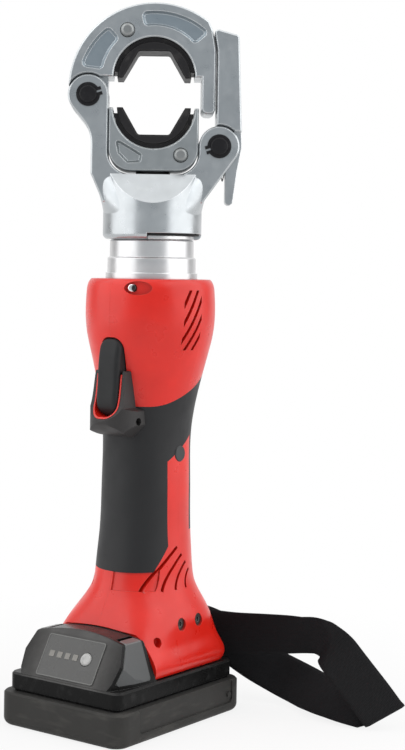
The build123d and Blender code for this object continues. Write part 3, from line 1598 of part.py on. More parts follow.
def hump_solid(grow):
    """Raised front of the case: crowned top, sloped panel and sides that taper forward, moved out by grow."""
    with BuildPart() as hump:
        with BuildSketch(FACE.offset(hump_rear)):
            with BuildLine():
                crown = ThreePointArc((-hump_top_half - grow, hump_side_top), (0, hump_top),
                                      (hump_top_half + grow, hump_side_top))
                Polyline(crown @ 1, (hump_half + grow, case_top), (-hump_half - grow, case_top), crown @ 0)
            make_face()
        extrude(amount=hump_front - hump_rear)
        with BuildSketch(SIDE):
            with BuildLine():
                Polyline((-hump_front, case_top), (hump_slope_run - hump_front, case_top + hump_slope_rise),
                         (hump_slope_run + hump_bevel_run - hump_front, hump_top + 1),
                         (-hump_rear_lean - hump_rear, hump_top + 1), (-hump_rear, case_top), close=True)
            make_face()
        extrude(amount=pack_width, both=True, mode=Mode.INTERSECT)
        with BuildSketch(BODY.offset(case_top)):
            with BuildLine():
                Polyline((-hump_half - grow, -hump_rear), (-hump_half - grow, -43),
                         (1.7 - hump_half - grow, -58),
                         (-hump_front_half - grow - 2, 2 - hump_front), (-hump_front_half - grow, -hump_front),
                         (hump_front_half + grow, -hump_front), (hump_front_half + grow + 2, 2 - hump_front),
                         (hump_half + grow - 1.7, -58), (hump_half + grow, -43), (hump_half + grow, -hump_rear),
                         close=True)
            make_face()
        extrude(amount=hump_height + 2, mode=Mode.INTERSECT)
        fillet(hump.faces().filter_by(GeomType.CYLINDER).edges(), hump_round)
    return hump.part


def release_solid(side, grow, inner):
    """Block of a release button or its seat, from an inner distance outward."""
    with BuildPart() as block:
        with BuildSketch(SIDE.offset(side * inner)) as outline:
            with BuildLine():
                Polyline((-release_front - grow, release_foot - grow), (grow - release_rear, release_foot - grow),
                         (grow - release_rear, release_foot + release_height + grow),
                         (-release_top_front - grow, release_foot + release_height + grow), close=True)
            make_face()
            fillet(outline.vertices(), 1.5)
        extrude(amount=side * pack_width / 2)
    return block.part


def release_button(side):
    """Release button whose outer face follows the sloped side of the case."""
    with BuildPart() as button:
        add(release_solid(side, 0, release_seat))
        add(hump_solid(release_proud), mode=Mode.INTERSECT)
    return button.part


with BuildPart() as battery_case:
    with BuildSketch(BODY.offset(tray_height)):
        with Locations((0, pack_middle)):
            RectangleRounded(pack_width - 2 * seam_depth, pack_length - 2 * seam_depth,
                             pack_corner - seam_depth)
    extrude(amount=seam_height)
    with BuildSketch(BODY.offset(tray_height + seam_height)):
        with Locations((0, pack_middle)):
            RectangleRounded(pack_width, pack_length, pack_corner)
    extrude(amount=band_height - seam_height)
    chamfer(battery_case.faces().sort_by(Axis.Z)[-1].edges(), 1)
    with BuildSketch(BODY.offset(tray_height)):
        with Locations((0, pack_middle)):
            RectangleRounded(2 * inner_half, inner_length, pack_corner)
    extrude(amount=band_height - 2.4, mode=Mode.SUBTRACT)
    add(hump_solid(0))
    with BuildSketch(FACE.offset(-rail_rear)):
        with Locations((0, case_top + rail_height / 2)):
            Rectangle(2 * rail_neck_half, rail_height)
        with Locations((0, (case_top + rail_lip + rail_top) / 2)):
            Rectangle(2 * rail_half, rail_height - rail_lip)
    extrude(amount=rail_rear + hump_rear + 6)
    with BuildSketch(BODY.offset(blade_foot - 1)):
        with Locations((0, (blade_rear - blade_length - 1 + rail_rear) / 2)):
            with GridLocations(blade_pitch, 1, blade_count, 1):
                Rectangle(blade_thick + 2 * rail_gap, rail_rear - blade_rear + blade_length + 1)
    extrude(amount=rail_height, mode=Mode.SUBTRACT)
    for side in (-1, 1):
        add(release_solid(side, slide_gap, release_end), mode=Mode.SUBTRACT)
    with BuildSketch(panel_plane):
        RectangleRounded(panel_width, panel_length, 1.5)
    extrude(amount=panel_proud - panel_thick, mode=Mode.SUBTRACT)
    with BuildSketch(panel_plane):
        with Locations(gauge_button_spot):
            Circle(gauge_button_radius + slide_gap)
    extrude(amount=-gauge_button_depth - gauge_button_travel - slide_gap, mode=Mode.SUBTRACT)
battery_case.part.label = "battery_case"
export_step(battery_case.part, "parts/battery_case.step")

with BuildPart() as gauge_panel:
    with BuildSketch(panel_plane.offset(panel_proud - panel_thick)):
        RectangleRounded(panel_width, panel_length, 1.5)
        with Locations(led_spot):
            with GridLocations(led_pitch, 1, led_count, 1):
                Rectangle(led_size, led_size, mode=Mode.SUBTRACT)
        with Locations(gauge_button_spot):
            Circle(gauge_button_radius + slide_gap, mode=Mode.SUBTRACT)
    extrude(amount=panel_thick)
gauge_panel.part.label = "gauge_panel"
export_step(gauge_panel.part, "parts/gauge_panel.step")

with BuildPart() as gauge_leds:
    with BuildSketch(panel_plane.offset(panel_proud - panel_thick)):
        with Locations(led_spot):
            with GridLocations(led_pitch, 1, led_count, 1):
                Rectangle(led_size, led_size)
    extrude(amount=panel_thick + 0.2)
gauge_leds.part.label = "gauge_leds"
export_step(gauge_leds.part, "parts/gauge_leds.step")

with BuildPart() as gauge_button:
    with BuildSketch(panel_plane.offset(-gauge_button_depth)):
        with Locations(gauge_button_spot):
            Circle(gauge_button_radius)
    extrude(amount=gauge_button_depth + panel_proud + gauge_button_travel)
    chamfer(gauge_button.faces().sort_by(Axis.Z)[-1].edges(), 0.5)
gauge_button.part.label = "gauge_button"
export_step(gauge_button.part, "parts/gauge_button.step")

with BuildPart() as release_button_right:
    add(release_button(1))
release_button_right.part.label = "release_button_right"
export_step(release_button_right.part, "parts/release_button_right.step")

with BuildPart() as release_button_left:
    add(release_button(-1))
release_button_left.part.label = "release_button_left"
export_step(release_button_left.part, "parts/release_button_left.step")
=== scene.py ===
import math

import bpy
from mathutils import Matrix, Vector


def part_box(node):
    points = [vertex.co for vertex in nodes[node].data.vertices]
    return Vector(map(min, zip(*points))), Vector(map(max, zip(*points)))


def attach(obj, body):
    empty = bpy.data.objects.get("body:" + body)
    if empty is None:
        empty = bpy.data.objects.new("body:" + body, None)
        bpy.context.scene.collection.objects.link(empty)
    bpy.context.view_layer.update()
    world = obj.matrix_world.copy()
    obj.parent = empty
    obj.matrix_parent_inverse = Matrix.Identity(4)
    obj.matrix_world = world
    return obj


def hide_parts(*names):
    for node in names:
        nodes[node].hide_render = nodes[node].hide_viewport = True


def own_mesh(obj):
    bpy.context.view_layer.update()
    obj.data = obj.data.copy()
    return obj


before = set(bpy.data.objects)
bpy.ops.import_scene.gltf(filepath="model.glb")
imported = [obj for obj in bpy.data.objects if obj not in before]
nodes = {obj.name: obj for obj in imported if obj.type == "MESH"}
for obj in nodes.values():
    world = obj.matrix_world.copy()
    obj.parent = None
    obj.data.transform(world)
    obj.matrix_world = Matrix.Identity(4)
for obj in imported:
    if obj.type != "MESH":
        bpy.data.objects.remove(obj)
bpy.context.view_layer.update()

# Directions: the handle and the battery are turned about the vertical, away from the head
mm = 0.001
up = Vector((0, 0, 1))
body_right = Vector((0.7934, -0.6088, 0))
body_back = Vector((0.6088, 0.7934, 0))

# Strap: the band in metres, its weave and its crease in millimetres and shares
strap_width = 25 * mm
strap_thickness = 1.6 * mm
fold_reach = 16 * mm
selvedge_share = 0.1
selvedge_thinning = 0.45
rib_pitch = 1.35
yarn_pitch = 0.9
weave_depth = 0.16
yarn_share = 0.4
fuzz_share = 0.9
crease_blur = 1
crease_gap = 50
crease_slant = 0.47

# Springs, in millimetres, with how far each gives way
return_coil_size = {"length": 30.3, "radius": 15.3, "wire_width": 2.2, "turns": 3, "travel": 16.8}
latch_coil_size = {"length": 11.8, "radius": 2.6, "wire_width": 0.7, "turns": 4, "travel": 5.3}
trigger_coil_size = {"length": 3.8, "radius": 2.2, "wire_width": 0.6, "turns": 2, "travel": 1.75}
piston_top = Vector((0, 0, 271.6))
latch_seat = Vector((30.1, 0, 311))
to_latch = Vector((1, 0, 0))
switch_rear = -26.35
switch_height = 199

# Screens behind the lower vents: heights and insets in millimetres, ends in degrees from the widest place
screen_low = 71.5
screen_high = 101
screen_outside = 4.8
screen_inside = 5.6
screen_front = -72
screen_rear = 26

# The housing around those vents: height, distance to the front and to the rear, half width and squareness
vent_sections = [
    (63.1, 41.0, 32.0, 32.6, 2.6),
    (75.1, 34.8, 28.6, 27.4, 2.15),
    (87.1, 32.4, 26.5, 26.2, 2.1),
    (105.1, 30.3, 25.3, 25.0, 2.1),
]

# Rings in the relief of the yoke's rim, a turned carrier and a black ring that stands in for the shade in
# the gap: sizes in millimetres, ends in degrees
relief_floor = 274.0
relief_top = 277.5
rim_ring_inner = 21.3
carrier_outer = 24.7
gap_shade_ring_outer = 27.4
gap_shade_ring_low = 276.2
rim_ring_clearance = 0.05
rim_ring_start = -95.5
rim_ring_end = -1.0
ring_edge = 0.15

# Gauge panel on the sloped front of the battery, and the line around it, in millimetres
panel_slope = Vector((14, 23)).normalized()
panel_along = body_back * panel_slope.x + up * panel_slope.y
panel_out = up * panel_slope.x - body_back * panel_slope.y
panel_rear = -67.6
panel_height = 41
panel_half_width = 20.5
panel_half_length = 12.25
panel_face = 0.4
line_inset = 0.2
line_width = 0.55
line_rise = 0.12
line_sink = 0.05
line_outer_radius = 1.4
line_inner_radius = 1.0

# Lamp's dark spot, partly its chip and partly painted shade, and the half width over which the painted
# reflection on the battery fades, in metres
dark_spot_inset = 2.2 * mm
dark_spot_radius = 2.6 * mm
dark_spot_core = 0.8 * dark_spot_radius
front_reflection_whole = 20 * mm
front_reflection_faded = 32 * mm

# Floors of the arch's pockets: depth from the middle plane in metres, and how squarely they face forward
pocket_floor = 12.5 * mm
pocket_reach = 0.5 * mm
pocket_facing = 0.9

# How finely pieces are divided and surfaces sampled
edge_samples = 6
hollow_samples = 8
strap_resolution = 8
band_steps = 12
coil_steps = 32
wire_sides = 10
screen_columns = 24
screen_rows = 12
ring_steps = 48
corner_steps = 6

# Surfaces: grain, edges and relief in millimetres
plastic_grain_size = 0.35
plastic_grain_depth = 0.02
plastic_edge = 0.35
metal_grain_size = 0.3
metal_grain_depth = 0.012
metal_edge = 0.5
fine_relief = 0.02

# Noises of the surfaces, in cells to the metre
plastic_cloud = 38
plastic_sheen = 90
metal_cloud = 45
metal_sheen = 160
edge_noise_scale = 220
scuff_scale = 140
front_reflection_scale = 120
button_mottle = 90
lens_ripple = 700
window_speck = 2600
strap_fuzz = 4200

# Where a noise and an edge start and end, and how far roughness and brightness vary
noise_low = 0.3
noise_high = 0.7
edge_starts = 0.02
edge_whole = 0.16
sheen_range = 0.05
plastic_dulling = 0.06
mottle_gain = 1.5

# Floor and world: lengths in metres, the rest as shares of white
floor_reach = 3.0
floor_white = 0.86
shadow_share = 0.16
shadow_near = 0.10
shadow_far = 0.32
room_dark = 0.49
beside_dark = 0.45
fill = 0.36
room_tint = (0.88, 1.0, 1.10)

# Camera: lens and sensor in millimetres, eye in metres, shift in pixels of the picture
lens_length = 78.8
sensor_width = 36
eye = (0, -0.960, 0.2603)
roll = math.radians(-0.85)
picture_side = 750
shift_right = 50.9
shift_up = -112


def body_point(side, rear, height):
    """A point from its distances to the right, to the rear and up, in millimetres."""
    return (body_right * side + body_back * rear + up * height) * mm


# Node helpers


def wire(tree, source, target):
    """A link from a node's output to another's input."""
    tree.links.new(source, target)


def coordinates(tree, kind):
    """The coordinates of that kind, fixed to the piece or to the world."""
    return tree.nodes.new("ShaderNodeTexCoord").outputs[kind]


def parts_of(tree, vector):
    """The X, Y and Z of a vector."""
    split = tree.nodes.new("ShaderNodeSeparateXYZ")
    wire(tree, vector, split.inputs["Vector"])
    return split.outputs


def combine(tree, operation, first, second=0):
    """The result of an operation on one number or two, each fixed or another node's output."""
    node = tree.nodes.new("ShaderNodeMath")
    node.operation = operation
    for slot, value in zip(node.inputs, (first, second)):
        if isinstance(value, (int, float)):
            slot.default_value = value
        else:
            wire(tree, value, slot)
    return node.outputs["Value"]


def product(tree, first, *others):
    """Numbers multiplied together, each fixed or another node's output."""
    for other in others:
        first = combine(tree, "MULTIPLY", first, other)
    return first


def measure(tree, operation, first, second=None):
    """A number taken from one vector or two. The second is fixed or another node's output."""
    node = tree.nodes.new("ShaderNodeVectorMath")
    node.operation = operation
    wire(tree, first, node.inputs[0])
    if isinstance(second, Vector):
        node.inputs[1].default_value = second
    elif second is not None:
        wire(tree, second, node.inputs[1])
    return node.outputs["Value"]


def spread(tree, source, low, high, start, end):
    """The value's range from low to high, carried over to start and end."""
    node = tree.nodes.new("ShaderNodeMapRange")
    node.inputs["From Min"].default_value = low
    node.inputs["From Max"].default_value = high
    node.inputs["To Min"].default_value = start
    node.inputs["To Max"].default_value = end
    wire(tree, source, node.inputs["Value"])
    return node.outputs["Result"]


def grain(tree, scale, detail, stretch=(1, 1, 1)):
    """A noise value from 0 to 1, fixed to the piece and scaled along each axis by the stretch."""
    mapping = tree.nodes.new("ShaderNodeMapping")
    mapping.inputs["Scale"].default_value = stretch
    wire(tree, coordinates(tree, "Object"), mapping.inputs["Vector"])
    noise = tree.nodes.new("ShaderNodeTexNoise")
    noise.inputs["Scale"].default_value = scale
    noise.inputs["Detail"].default_value = detail
    wire(tree, mapping.outputs["Vector"], noise.inputs["Vector"])
    return noise.outputs[0]


def uneven(tree, scale, detail, start, end, stretch=(1, 1, 1)):
    """A noise that runs from start to end."""
    return spread(tree, grain(tree, scale, detail, stretch), noise_low, noise_high, start, end)


def colour_mix(tree, factor, first, second):
    """One colour at 0 and the other at 1, each fixed or another node's output."""
    node = tree.nodes.new("ShaderNodeMix")
    node.data_type = "RGBA"
    wire(tree, factor, node.inputs[0])
    for slot, value in zip(node.inputs[6:8], (first, second)):
        if isinstance(value, tuple):
            slot.default_value = (*value, 1)
        else:
            wire(tree, value, slot)
    return node.outputs[2]


def toned(tree, colour, value):
    """The colour, brightened or darkened by a value."""
    tone = tree.nodes.new("ShaderNodeHueSaturation")
    tone.inputs["Color"].default_value = (*colour, 1)
    wire(tree, value, tone.inputs["Value"])
    return tone.outputs["Color"]


def soft_normal(tree, radius):
    """The surface's normal with its edges rounded by that radius, in millimetres."""
    bevel = tree.nodes.new("ShaderNodeBevel")
    bevel.samples = edge_samples
    bevel.inputs["Radius"].default_value = radius * mm
    return bevel.outputs["Normal"]


def edge_mask(tree, rounded):
    """1 on the edges and 0 on the flats, from how far the rounded normal leans."""
    plain = tree.nodes.new("ShaderNodeNewGeometry").outputs["Normal"]
    alike = measure(tree, "DOT_PRODUCT", rounded, plain)
    return spread(tree, alike, 1 - edge_starts, 1 - edge_whole, 0, 1)


def bumped(tree, height, strength, depth, normal=None):
    """A normal that follows fine relief of that depth, in millimetres."""
    bump = tree.nodes.new("ShaderNodeBump")
    bump.inputs["Strength"].default_value = strength
    bump.inputs["Distance"].default_value = depth * mm
    wire(tree, height, bump.inputs["Height"])
    if normal is not None:
        wire(tree, normal, bump.inputs["Normal"])
    return bump.outputs["Normal"]


def painted_hollow_shade(tree, reach):
    """Painted shade: 1 on open surfaces, falling off inside recesses narrower than the reach, in
    millimetres.
    """
    open_sky = tree.nodes.new("ShaderNodeAmbientOcclusion")
    open_sky.samples = hollow_samples
    open_sky.only_local = True
    open_sky.inputs["Distance"].default_value = reach * mm
    return spread(tree, open_sky.outputs["AO"], low=0.35, high=0.95, start=0.72, end=1)


def scuffed(tree, colour, mark, amount, stretch=(1, 1, 1)):
    """The colour with scattered scuff marks of another colour, drawn out by the stretch."""
    cloud = grain(tree, scuff_scale, detail=6, stretch=stretch)
    patches = spread(tree, cloud, low=0.56, high=0.70, start=0, end=amount)
    return colour_mix(tree, patches, colour, mark)


def painted_front_reflection(tree):
    """Painted reflection: 1 on the middle of the battery's sloped front, less at its sides and top, 0 on
    upright faces.
    """
    normal = coordinates(tree, "Normal")
    lean = spread(tree, parts_of(tree, normal)["Z"], low=0.15, high=0.50, start=0, end=1)
    facing = measure(tree, "DOT_PRODUCT", normal, panel_out)
    towards = spread(tree, facing, low=0.70, high=0.90, start=0.30, end=1)
    off = combine(tree, "ABSOLUTE", measure(tree, "DOT_PRODUCT", coordinates(tree, "Object"), body_right))
    middle = spread(tree, off, front_reflection_whole, front_reflection_faded, start=1, end=0.35)
    cloud = spread(tree, grain(tree, front_reflection_scale, detail=4), low=0.25, high=0.75, start=0.7, end=1)
    return product(tree, lean, towards, middle, cloud)


def sunk_faces(tree):
    """1 on faces that look forward or back at the depth of the arch's pockets, and 0 elsewhere."""
    depth = combine(tree, "ABSOLUTE", parts_of(tree, coordinates(tree, "Object"))["Y"])
    off = combine(tree, "ABSOLUTE", combine(tree, "SUBTRACT", depth, pocket_floor))
    near = combine(tree, "LESS_THAN", off, pocket_reach)
    facing = combine(tree, "ABSOLUTE", parts_of(tree, coordinates(tree, "Normal"))["Y"])
    level = combine(tree, "GREATER_THAN", facing, pocket_facing)
    return product(tree, near, level)


# Kinds of material


def new_material(name, colour, metallic, roughness, gloss=0.5):
    """A material with its plain values set on the shader."""
    made = bpy.data.materials.new(name)
    made.use_nodes = True
    shader = made.node_tree.nodes["Principled BSDF"]
    shader.inputs["Base Color"].default_value = (*colour, 1)
    shader.inputs["Metallic"].default_value = metallic
    shader.inputs["Roughness"].default_value = roughness
    shader.inputs["Specular IOR Level"].default_value = gloss
    return made, made.node_tree, shader


def plastic_grain(tree, shader, rounded, roughness, grain_size, grain_depth):
    """The uneven sheen and fine relief of a moulded surface."""
    shiny = roughness - sheen_range
    dull = roughness + plastic_dulling
    sheen = uneven(tree, plastic_sheen, detail=4, start=shiny, end=dull)
    wire(tree, sheen, shader.inputs["Roughness"])
    fine = grain(tree, 1 / (grain_size * mm), detail=2)
    relief = bumped(tree, fine, strength=0.5, depth=grain_depth, normal=rounded)
    wire(tree, relief, shader.inputs["Normal"])


def moulded(
    name,
    colour,
    roughness,
    wear_and_highlight_colour,
    grain_size=plastic_grain_size,
    grain_depth=plastic_grain_depth,
    edge=plastic_edge,
    gloss=0.5,
    scuff=0,
    stretch=(1, 1, 1),
    hollow_shade=0,
    dust=None,
):
    """Moulded plastic or rubber: fine grain, scuffs, paler edges that are partly wear and partly painted
    highlight, painted shade in hollows and a painted reflection.
    """
    made, tree, shader = new_material(name, colour, 0, roughness, gloss)
    rounded = soft_normal(tree, edge)
    # Paler edges: partly wear, partly painted highlight
    paler_mask = product(tree, edge_mask(tree, rounded), grain(tree, edge_noise_scale, detail=4))
    cloud = uneven(tree, plastic_cloud, detail=3, start=0.90, end=1.06)
    # Painted shade: the colour darkens inside recesses
    if hollow_shade:
        cloud = product(tree, cloud, painted_hollow_shade(tree, hollow_shade))
    surface_colour = scuffed(tree, toned(tree, colour, cloud), wear_and_highlight_colour, scuff, stretch)
    # Painted reflection: a paler colour on the battery's sloped front
    if dust:
        surface_colour = colour_mix(tree, painted_front_reflection(tree), surface_colour, dust)
    wire(tree, colour_mix(tree, paler_mask, surface_colour, wear_and_highlight_colour), shader.inputs["Base Color"])
    plastic_grain(tree, shader, rounded, roughness, grain_size, grain_depth)
    return made


def worked_metal(
    name,
    colour,
    roughness,
    wear_and_highlight_colour,
    stretch=(1, 1, 1),
    grain_size=metal_grain_size,
    grain_depth=metal_grain_depth,
    gloss=0.5,
    scuff=0,
    metallic=1,
    sunk=None,
):
    """Metal with satin grain, uneven sheen and bright edges that are partly wear and partly painted
    highlight. A stretch draws the grain into tool marks.
    """
    made, tree, shader = new_material(name, colour, metallic, roughness, gloss)
    rounded = soft_normal(tree, metal_edge)
    cloud = uneven(tree, metal_cloud, detail=4, start=0.92, end=1.05)
    surface_colour = scuffed(tree, toned(tree, colour, cloud), wear_and_highlight_colour, scuff)
    if sunk:
        surface_colour = colour_mix(tree, sunk_faces(tree), surface_colour, sunk)
    # Bright edges: partly wear, partly painted highlight
    wire(tree, colour_mix(tree, edge_mask(tree, rounded), surface_colour, wear_and_highlight_colour), shader.inputs["Base Color"])
    shiny = roughness - sheen_range
    dull = roughness + sheen_range
    sheen = uneven(tree, metal_sheen, detail=4, start=shiny, end=dull, stretch=stretch)
    wire(tree, sheen, shader.inputs["Roughness"])
    marks = grain(tree, 1 / (grain_size * mm), detail=3, stretch=stretch)
    relief = bumped(tree, marks, strength=0.35, depth=grain_depth, normal=rounded)
    wire(tree, relief, shader.inputs["Normal"])
    return made


def side_shaded_button(name, colour, lit_faces_colour, roughness, side):
    """A moulded button with painted light and shade by facing: its faces turned to the side are dark, the
    others lighter.
    """
    made, tree, shader = new_material(name, colour, metallic=0, roughness=roughness)
    facing = combine(tree, "ABSOLUTE", measure(tree, "DOT_PRODUCT", coordinates(tree, "Normal"), side))
    # Painted shade on faces turned to the side, painted light on the faces turned other ways
    broad = spread(tree, facing, low=0.72, high=0.84, start=0, end=1)
    paler = tuple(mottle_gain * value for value in colour)
    mottled = colour_mix(tree, grain(tree, button_mottle, detail=5), colour, paler)
    wire(tree, colour_mix(tree, broad, lit_faces_colour, mottled), shader.inputs["Base Color"])
    rounded = soft_normal(tree, plastic_edge)
    plastic_grain(tree, shader, rounded, roughness, plastic_grain_size, plastic_grain_depth)
    return made


def lamp_glass(name, colour, dark_spot, dark_spot_colour):
    """The lamp's domed lens: silvered inside, with a dark spot towards its right that is partly the chip
    and partly painted shade.
    """
    made, tree, shader = new_material(name, colour, metallic=1, roughness=0.14)
    off = measure(tree, "DISTANCE", coordinates(tree, "Object"), dark_spot)
    silver = spread(tree, off, dark_spot_core, dark_spot_radius, 0, 1)
    wire(tree, colour_mix(tree, silver, dark_spot_colour, colour), shader.inputs["Base Color"])
    wire(tree, silver, shader.inputs["Metallic"])
    ripple = grain(tree, lens_ripple, detail=2)
    sheen = spread(tree, ripple, noise_low, noise_high, start=0.10, end=0.20)
    wire(tree, sheen, shader.inputs["Roughness"])
    wire(tree, bumped(tree, ripple, strength=0.2, depth=fine_relief), shader.inputs["Normal"])
    return made


def light_window(name, colour, dark, pale):
    """The gauge's small diffusing windows, greyish and speckled while unlit."""
    made, tree, shader = new_material(name, colour, metallic=0, roughness=0.30)
    speck = grain(tree, window_speck, detail=3)
    wire(tree, colour_mix(tree, speck, dark, pale), shader.inputs["Base Color"])
    wire(tree, bumped(tree, speck, strength=0.3, depth=fine_relief), shader.inputs["Normal"])
    return made


def woven(name, colour, fold, crease):
    """Webbing with ribs across it and yarns along it, paler between fold and crease, where light is painted
    on the stretch that faces up.
    """
    made, tree, shader = new_material(name, colour, metallic=0, roughness=0.84, gloss=0.18)
    place = parts_of(tree, coordinates(tree, "UV"))
    lengthwise = place["X"]
    crosswise = place["Y"]
    ribs = combine(tree, "SINE", product(tree, lengthwise, 2 * math.pi / rib_pitch))
    yarns = combine(tree, "SINE", product(tree, crosswise, 2 * math.pi / yarn_pitch))
    weave = combine(tree, "ADD", product(tree, ribs, yarns), product(tree, yarns, yarn_share))
    height = combine(tree, "ADD", weave, product(tree, grain(tree, strap_fuzz, detail=2), fuzz_share))
    lift = spread(tree, height, low=-1, high=2, start=0, end=1)
    past_fold = spread(tree, lengthwise, fold - crease_blur, fold + crease_blur, 0, 1)
    slanted = combine(tree, "SUBTRACT", lengthwise, product(tree, crosswise, crease_slant))
    before_crease = spread(tree, slanted, crease - crease_blur, crease + crease_blur, 1, 0)
    # Painted light: the stretch between fold and crease takes the paler colours, as it faces up
    plain_weave = colour_mix(tree, lift, (0.002, 0.002, 0.0025), (0.014, 0.014, 0.016))
    surface_colour = colour_mix(tree, lift, (0.003, 0.003, 0.0035), (0.021, 0.021, 0.0225))
    paler_mask = product(tree, past_fold, before_crease)
    wire(tree, colour_mix(tree, paler_mask, plain_weave, surface_colour), shader.inputs["Base Color"])
    wire(tree, spread(tree, height, low=-1, high=2, start=0.92, end=0.70), shader.inputs["Roughness"])
    wire(tree, bumped(tree, height, strength=0.7, depth=weave_depth), shader.inputs["Normal"])
    return made


# Finishes

head_coat = worked_metal(
    "head_coat", (0.49, 0.515, 0.53), 0.31, (0.86, 0.87, 0.88), scuff=0.10, sunk=(0.37, 0.425, 0.465)
)
holder_coat = worked_metal("holder_coat", (0.385, 0.41, 0.42), 0.37, (0.84, 0.85, 0.86), scuff=0.10)
turned = worked_metal(
    "turned_aluminium",
    (0.66, 0.66, 0.665),
    0.31,
    (0.86, 0.86, 0.86),
    stretch=(0, 0, 1),
    grain_size=0.4,
    grain_depth=0.0012,
    scuff=0.10,
)
blackened = worked_metal(
    "blackened_steel", (0.020, 0.0195, 0.021), 0.48, (0.10, 0.095, 0.09), gloss=0.18, scuff=0.30, metallic=0
)
pin_black = worked_metal(
    "pin_black", (0.010, 0.010, 0.012), 0.50, (0.06, 0.06, 0.062), gloss=0.2, scuff=0.20, metallic=0
)
steel = worked_metal("ground_steel", (0.44, 0.45, 0.46), 0.32, (0.70, 0.70, 0.70), stretch=(1, 1, 0.1))
nickel = worked_metal("nickel_plate", (0.29, 0.30, 0.30), 0.44, (0.34, 0.34, 0.34))
zinc = worked_metal("screw_zinc", (0.14, 0.135, 0.13), 0.42, (0.30, 0.29, 0.28))
brass = worked_metal("contact_brass", (0.80, 0.58, 0.24), 0.28, (0.92, 0.76, 0.42))

# The red housing has painted shade in its hollows
red = moulded(
    "red_housing", (0.75, 0.0145, 0.006), 0.31, (0.80, 0.10, 0.06), grain_depth=0.012, scuff=0.03, hollow_shade=7
)
grip_black = moulded(
    "grip_rubber",
    (0.012, 0.0122, 0.0135),
    0.50,
    (0.05, 0.05, 0.055),
    grain_size=0.6,
    grain_depth=0.05,
    gloss=0.36,
)
# The battery case has a painted reflection on its sloped front
case_black = moulded(
    "battery_black",
    (0.008, 0.008, 0.008),
    0.26,
    (0.16, 0.16, 0.16),
    gloss=0.10,
    scuff=0.08,
    dust=(0.100, 0.098, 0.096),
)
tray_black = moulded(
    "tray_black",
    (0.052, 0.051, 0.049),
    0.42,
    (0.12, 0.115, 0.105),
    gloss=0.05,
    scuff=0.26,
    stretch=(0.35, 0.35, 1.4),
)
trigger_black = moulded("trigger_black", (0.014, 0.0145, 0.0155), 0.52, (0.05, 0.05, 0.05), gloss=0.28)
guard_black = moulded("guard_black", (0.034, 0.032, 0.032), 0.50, (0.07, 0.07, 0.07), gloss=0.30)
button_silver = moulded("button_silver", (0.48, 0.48, 0.47), 0.30, (0.12, 0.12, 0.12), scuff=0.7)
panel_black = moulded(
    "panel_film",
    (0.060, 0.060, 0.058),
    0.26,
    (0.12, 0.12, 0.12),
    grain_size=0.2,
    grain_depth=0.008,
    scuff=0.15,
)
outline_grey = moulded(
    "panel_outline",
    (0.13, 0.13, 0.125),
    0.34,
    (0.20, 0.20, 0.19),
    grain_size=0.2,
    grain_depth=0.008,
    edge=0.05,
)
plug_grey = moulded("plug_grey", (0.045, 0.048, 0.050), 0.46, (0.10, 0.10, 0.10), gloss=0.3)
seal_black = moulded(
    "seal_rubber",
    (0.016, 0.016, 0.017),
    0.62,
    (0.04, 0.04, 0.04),
    grain_size=0.5,
    grain_depth=0.03,
    gloss=0.25,
)
board_green = moulded("circuit_board", (0.012, 0.085, 0.045), 0.40, (0.20, 0.26, 0.16), grain_size=0.9)
cell_sleeve = moulded(
    "cell_sleeve", (0.03, 0.10, 0.26), 0.30, (0.10, 0.20, 0.42), grain_size=0.8, grain_depth=0.01
)
# The release buttons have painted light and shade by which way each face turns
button_grey = side_shaded_button("button_grey", (0.050, 0.053, 0.054), (0.15, 0.154, 0.154), 0.32, body_right)

lamp_low, lamp_high = (Vector(corner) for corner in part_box("work_light"))
# A dark spot on the lens towards its right: partly the LED's chip, partly painted shade
lamp_dark_spot = Vector((lamp_high.x - dark_spot_inset, lamp_low.y, (lamp_low.z + lamp_high.z) / 2))
lens = lamp_glass("lamp_glass", (0.85, 0.85, 0.84), lamp_dark_spot, (0.012, 0.011, 0.011))
led_grey = light_window("gauge_window", (0.30, 0.29, 0.27), (0.13, 0.125, 0.115), (0.30, 0.285, 0.26))

# Shapes


def mesh_object(name, points, faces, finish, smooth=True):
    """An object made of those points and faces, in one finish."""
    mesh = bpy.data.meshes.new(name)
    mesh.from_pydata(points, [], faces)
    mesh.update()
    for polygon in mesh.polygons:
        polygon.use_smooth = smooth
    mesh.materials.append(finish)
    made = bpy.data.objects.new(name, mesh)
    bpy.context.scene.collection.objects.link(made)
    return made


def tube_faces(count, steps, ring=False):
    """Faces between loops of that many points: a tube with closed ends, or a ring joined end to end."""
    loops = steps if ring else steps + 1
    faces = []
    for step in range(steps):
        near = step * count
        far = (step + 1) % loops * count
        for k in range(count):
            after = (k + 1) % count
            faces.append((near + k, far + k, far + after, near + after))
    if not ring:
        faces.append(tuple(range(count)))
        faces.append(tuple(reversed(range(steps * count, loops * count))))
    return faces


# Wrist strap: the points of its centreline in millimetres, round its pin at both ends
# The last two values of a point are the leans of the band's upper edge to the right and back, in degrees

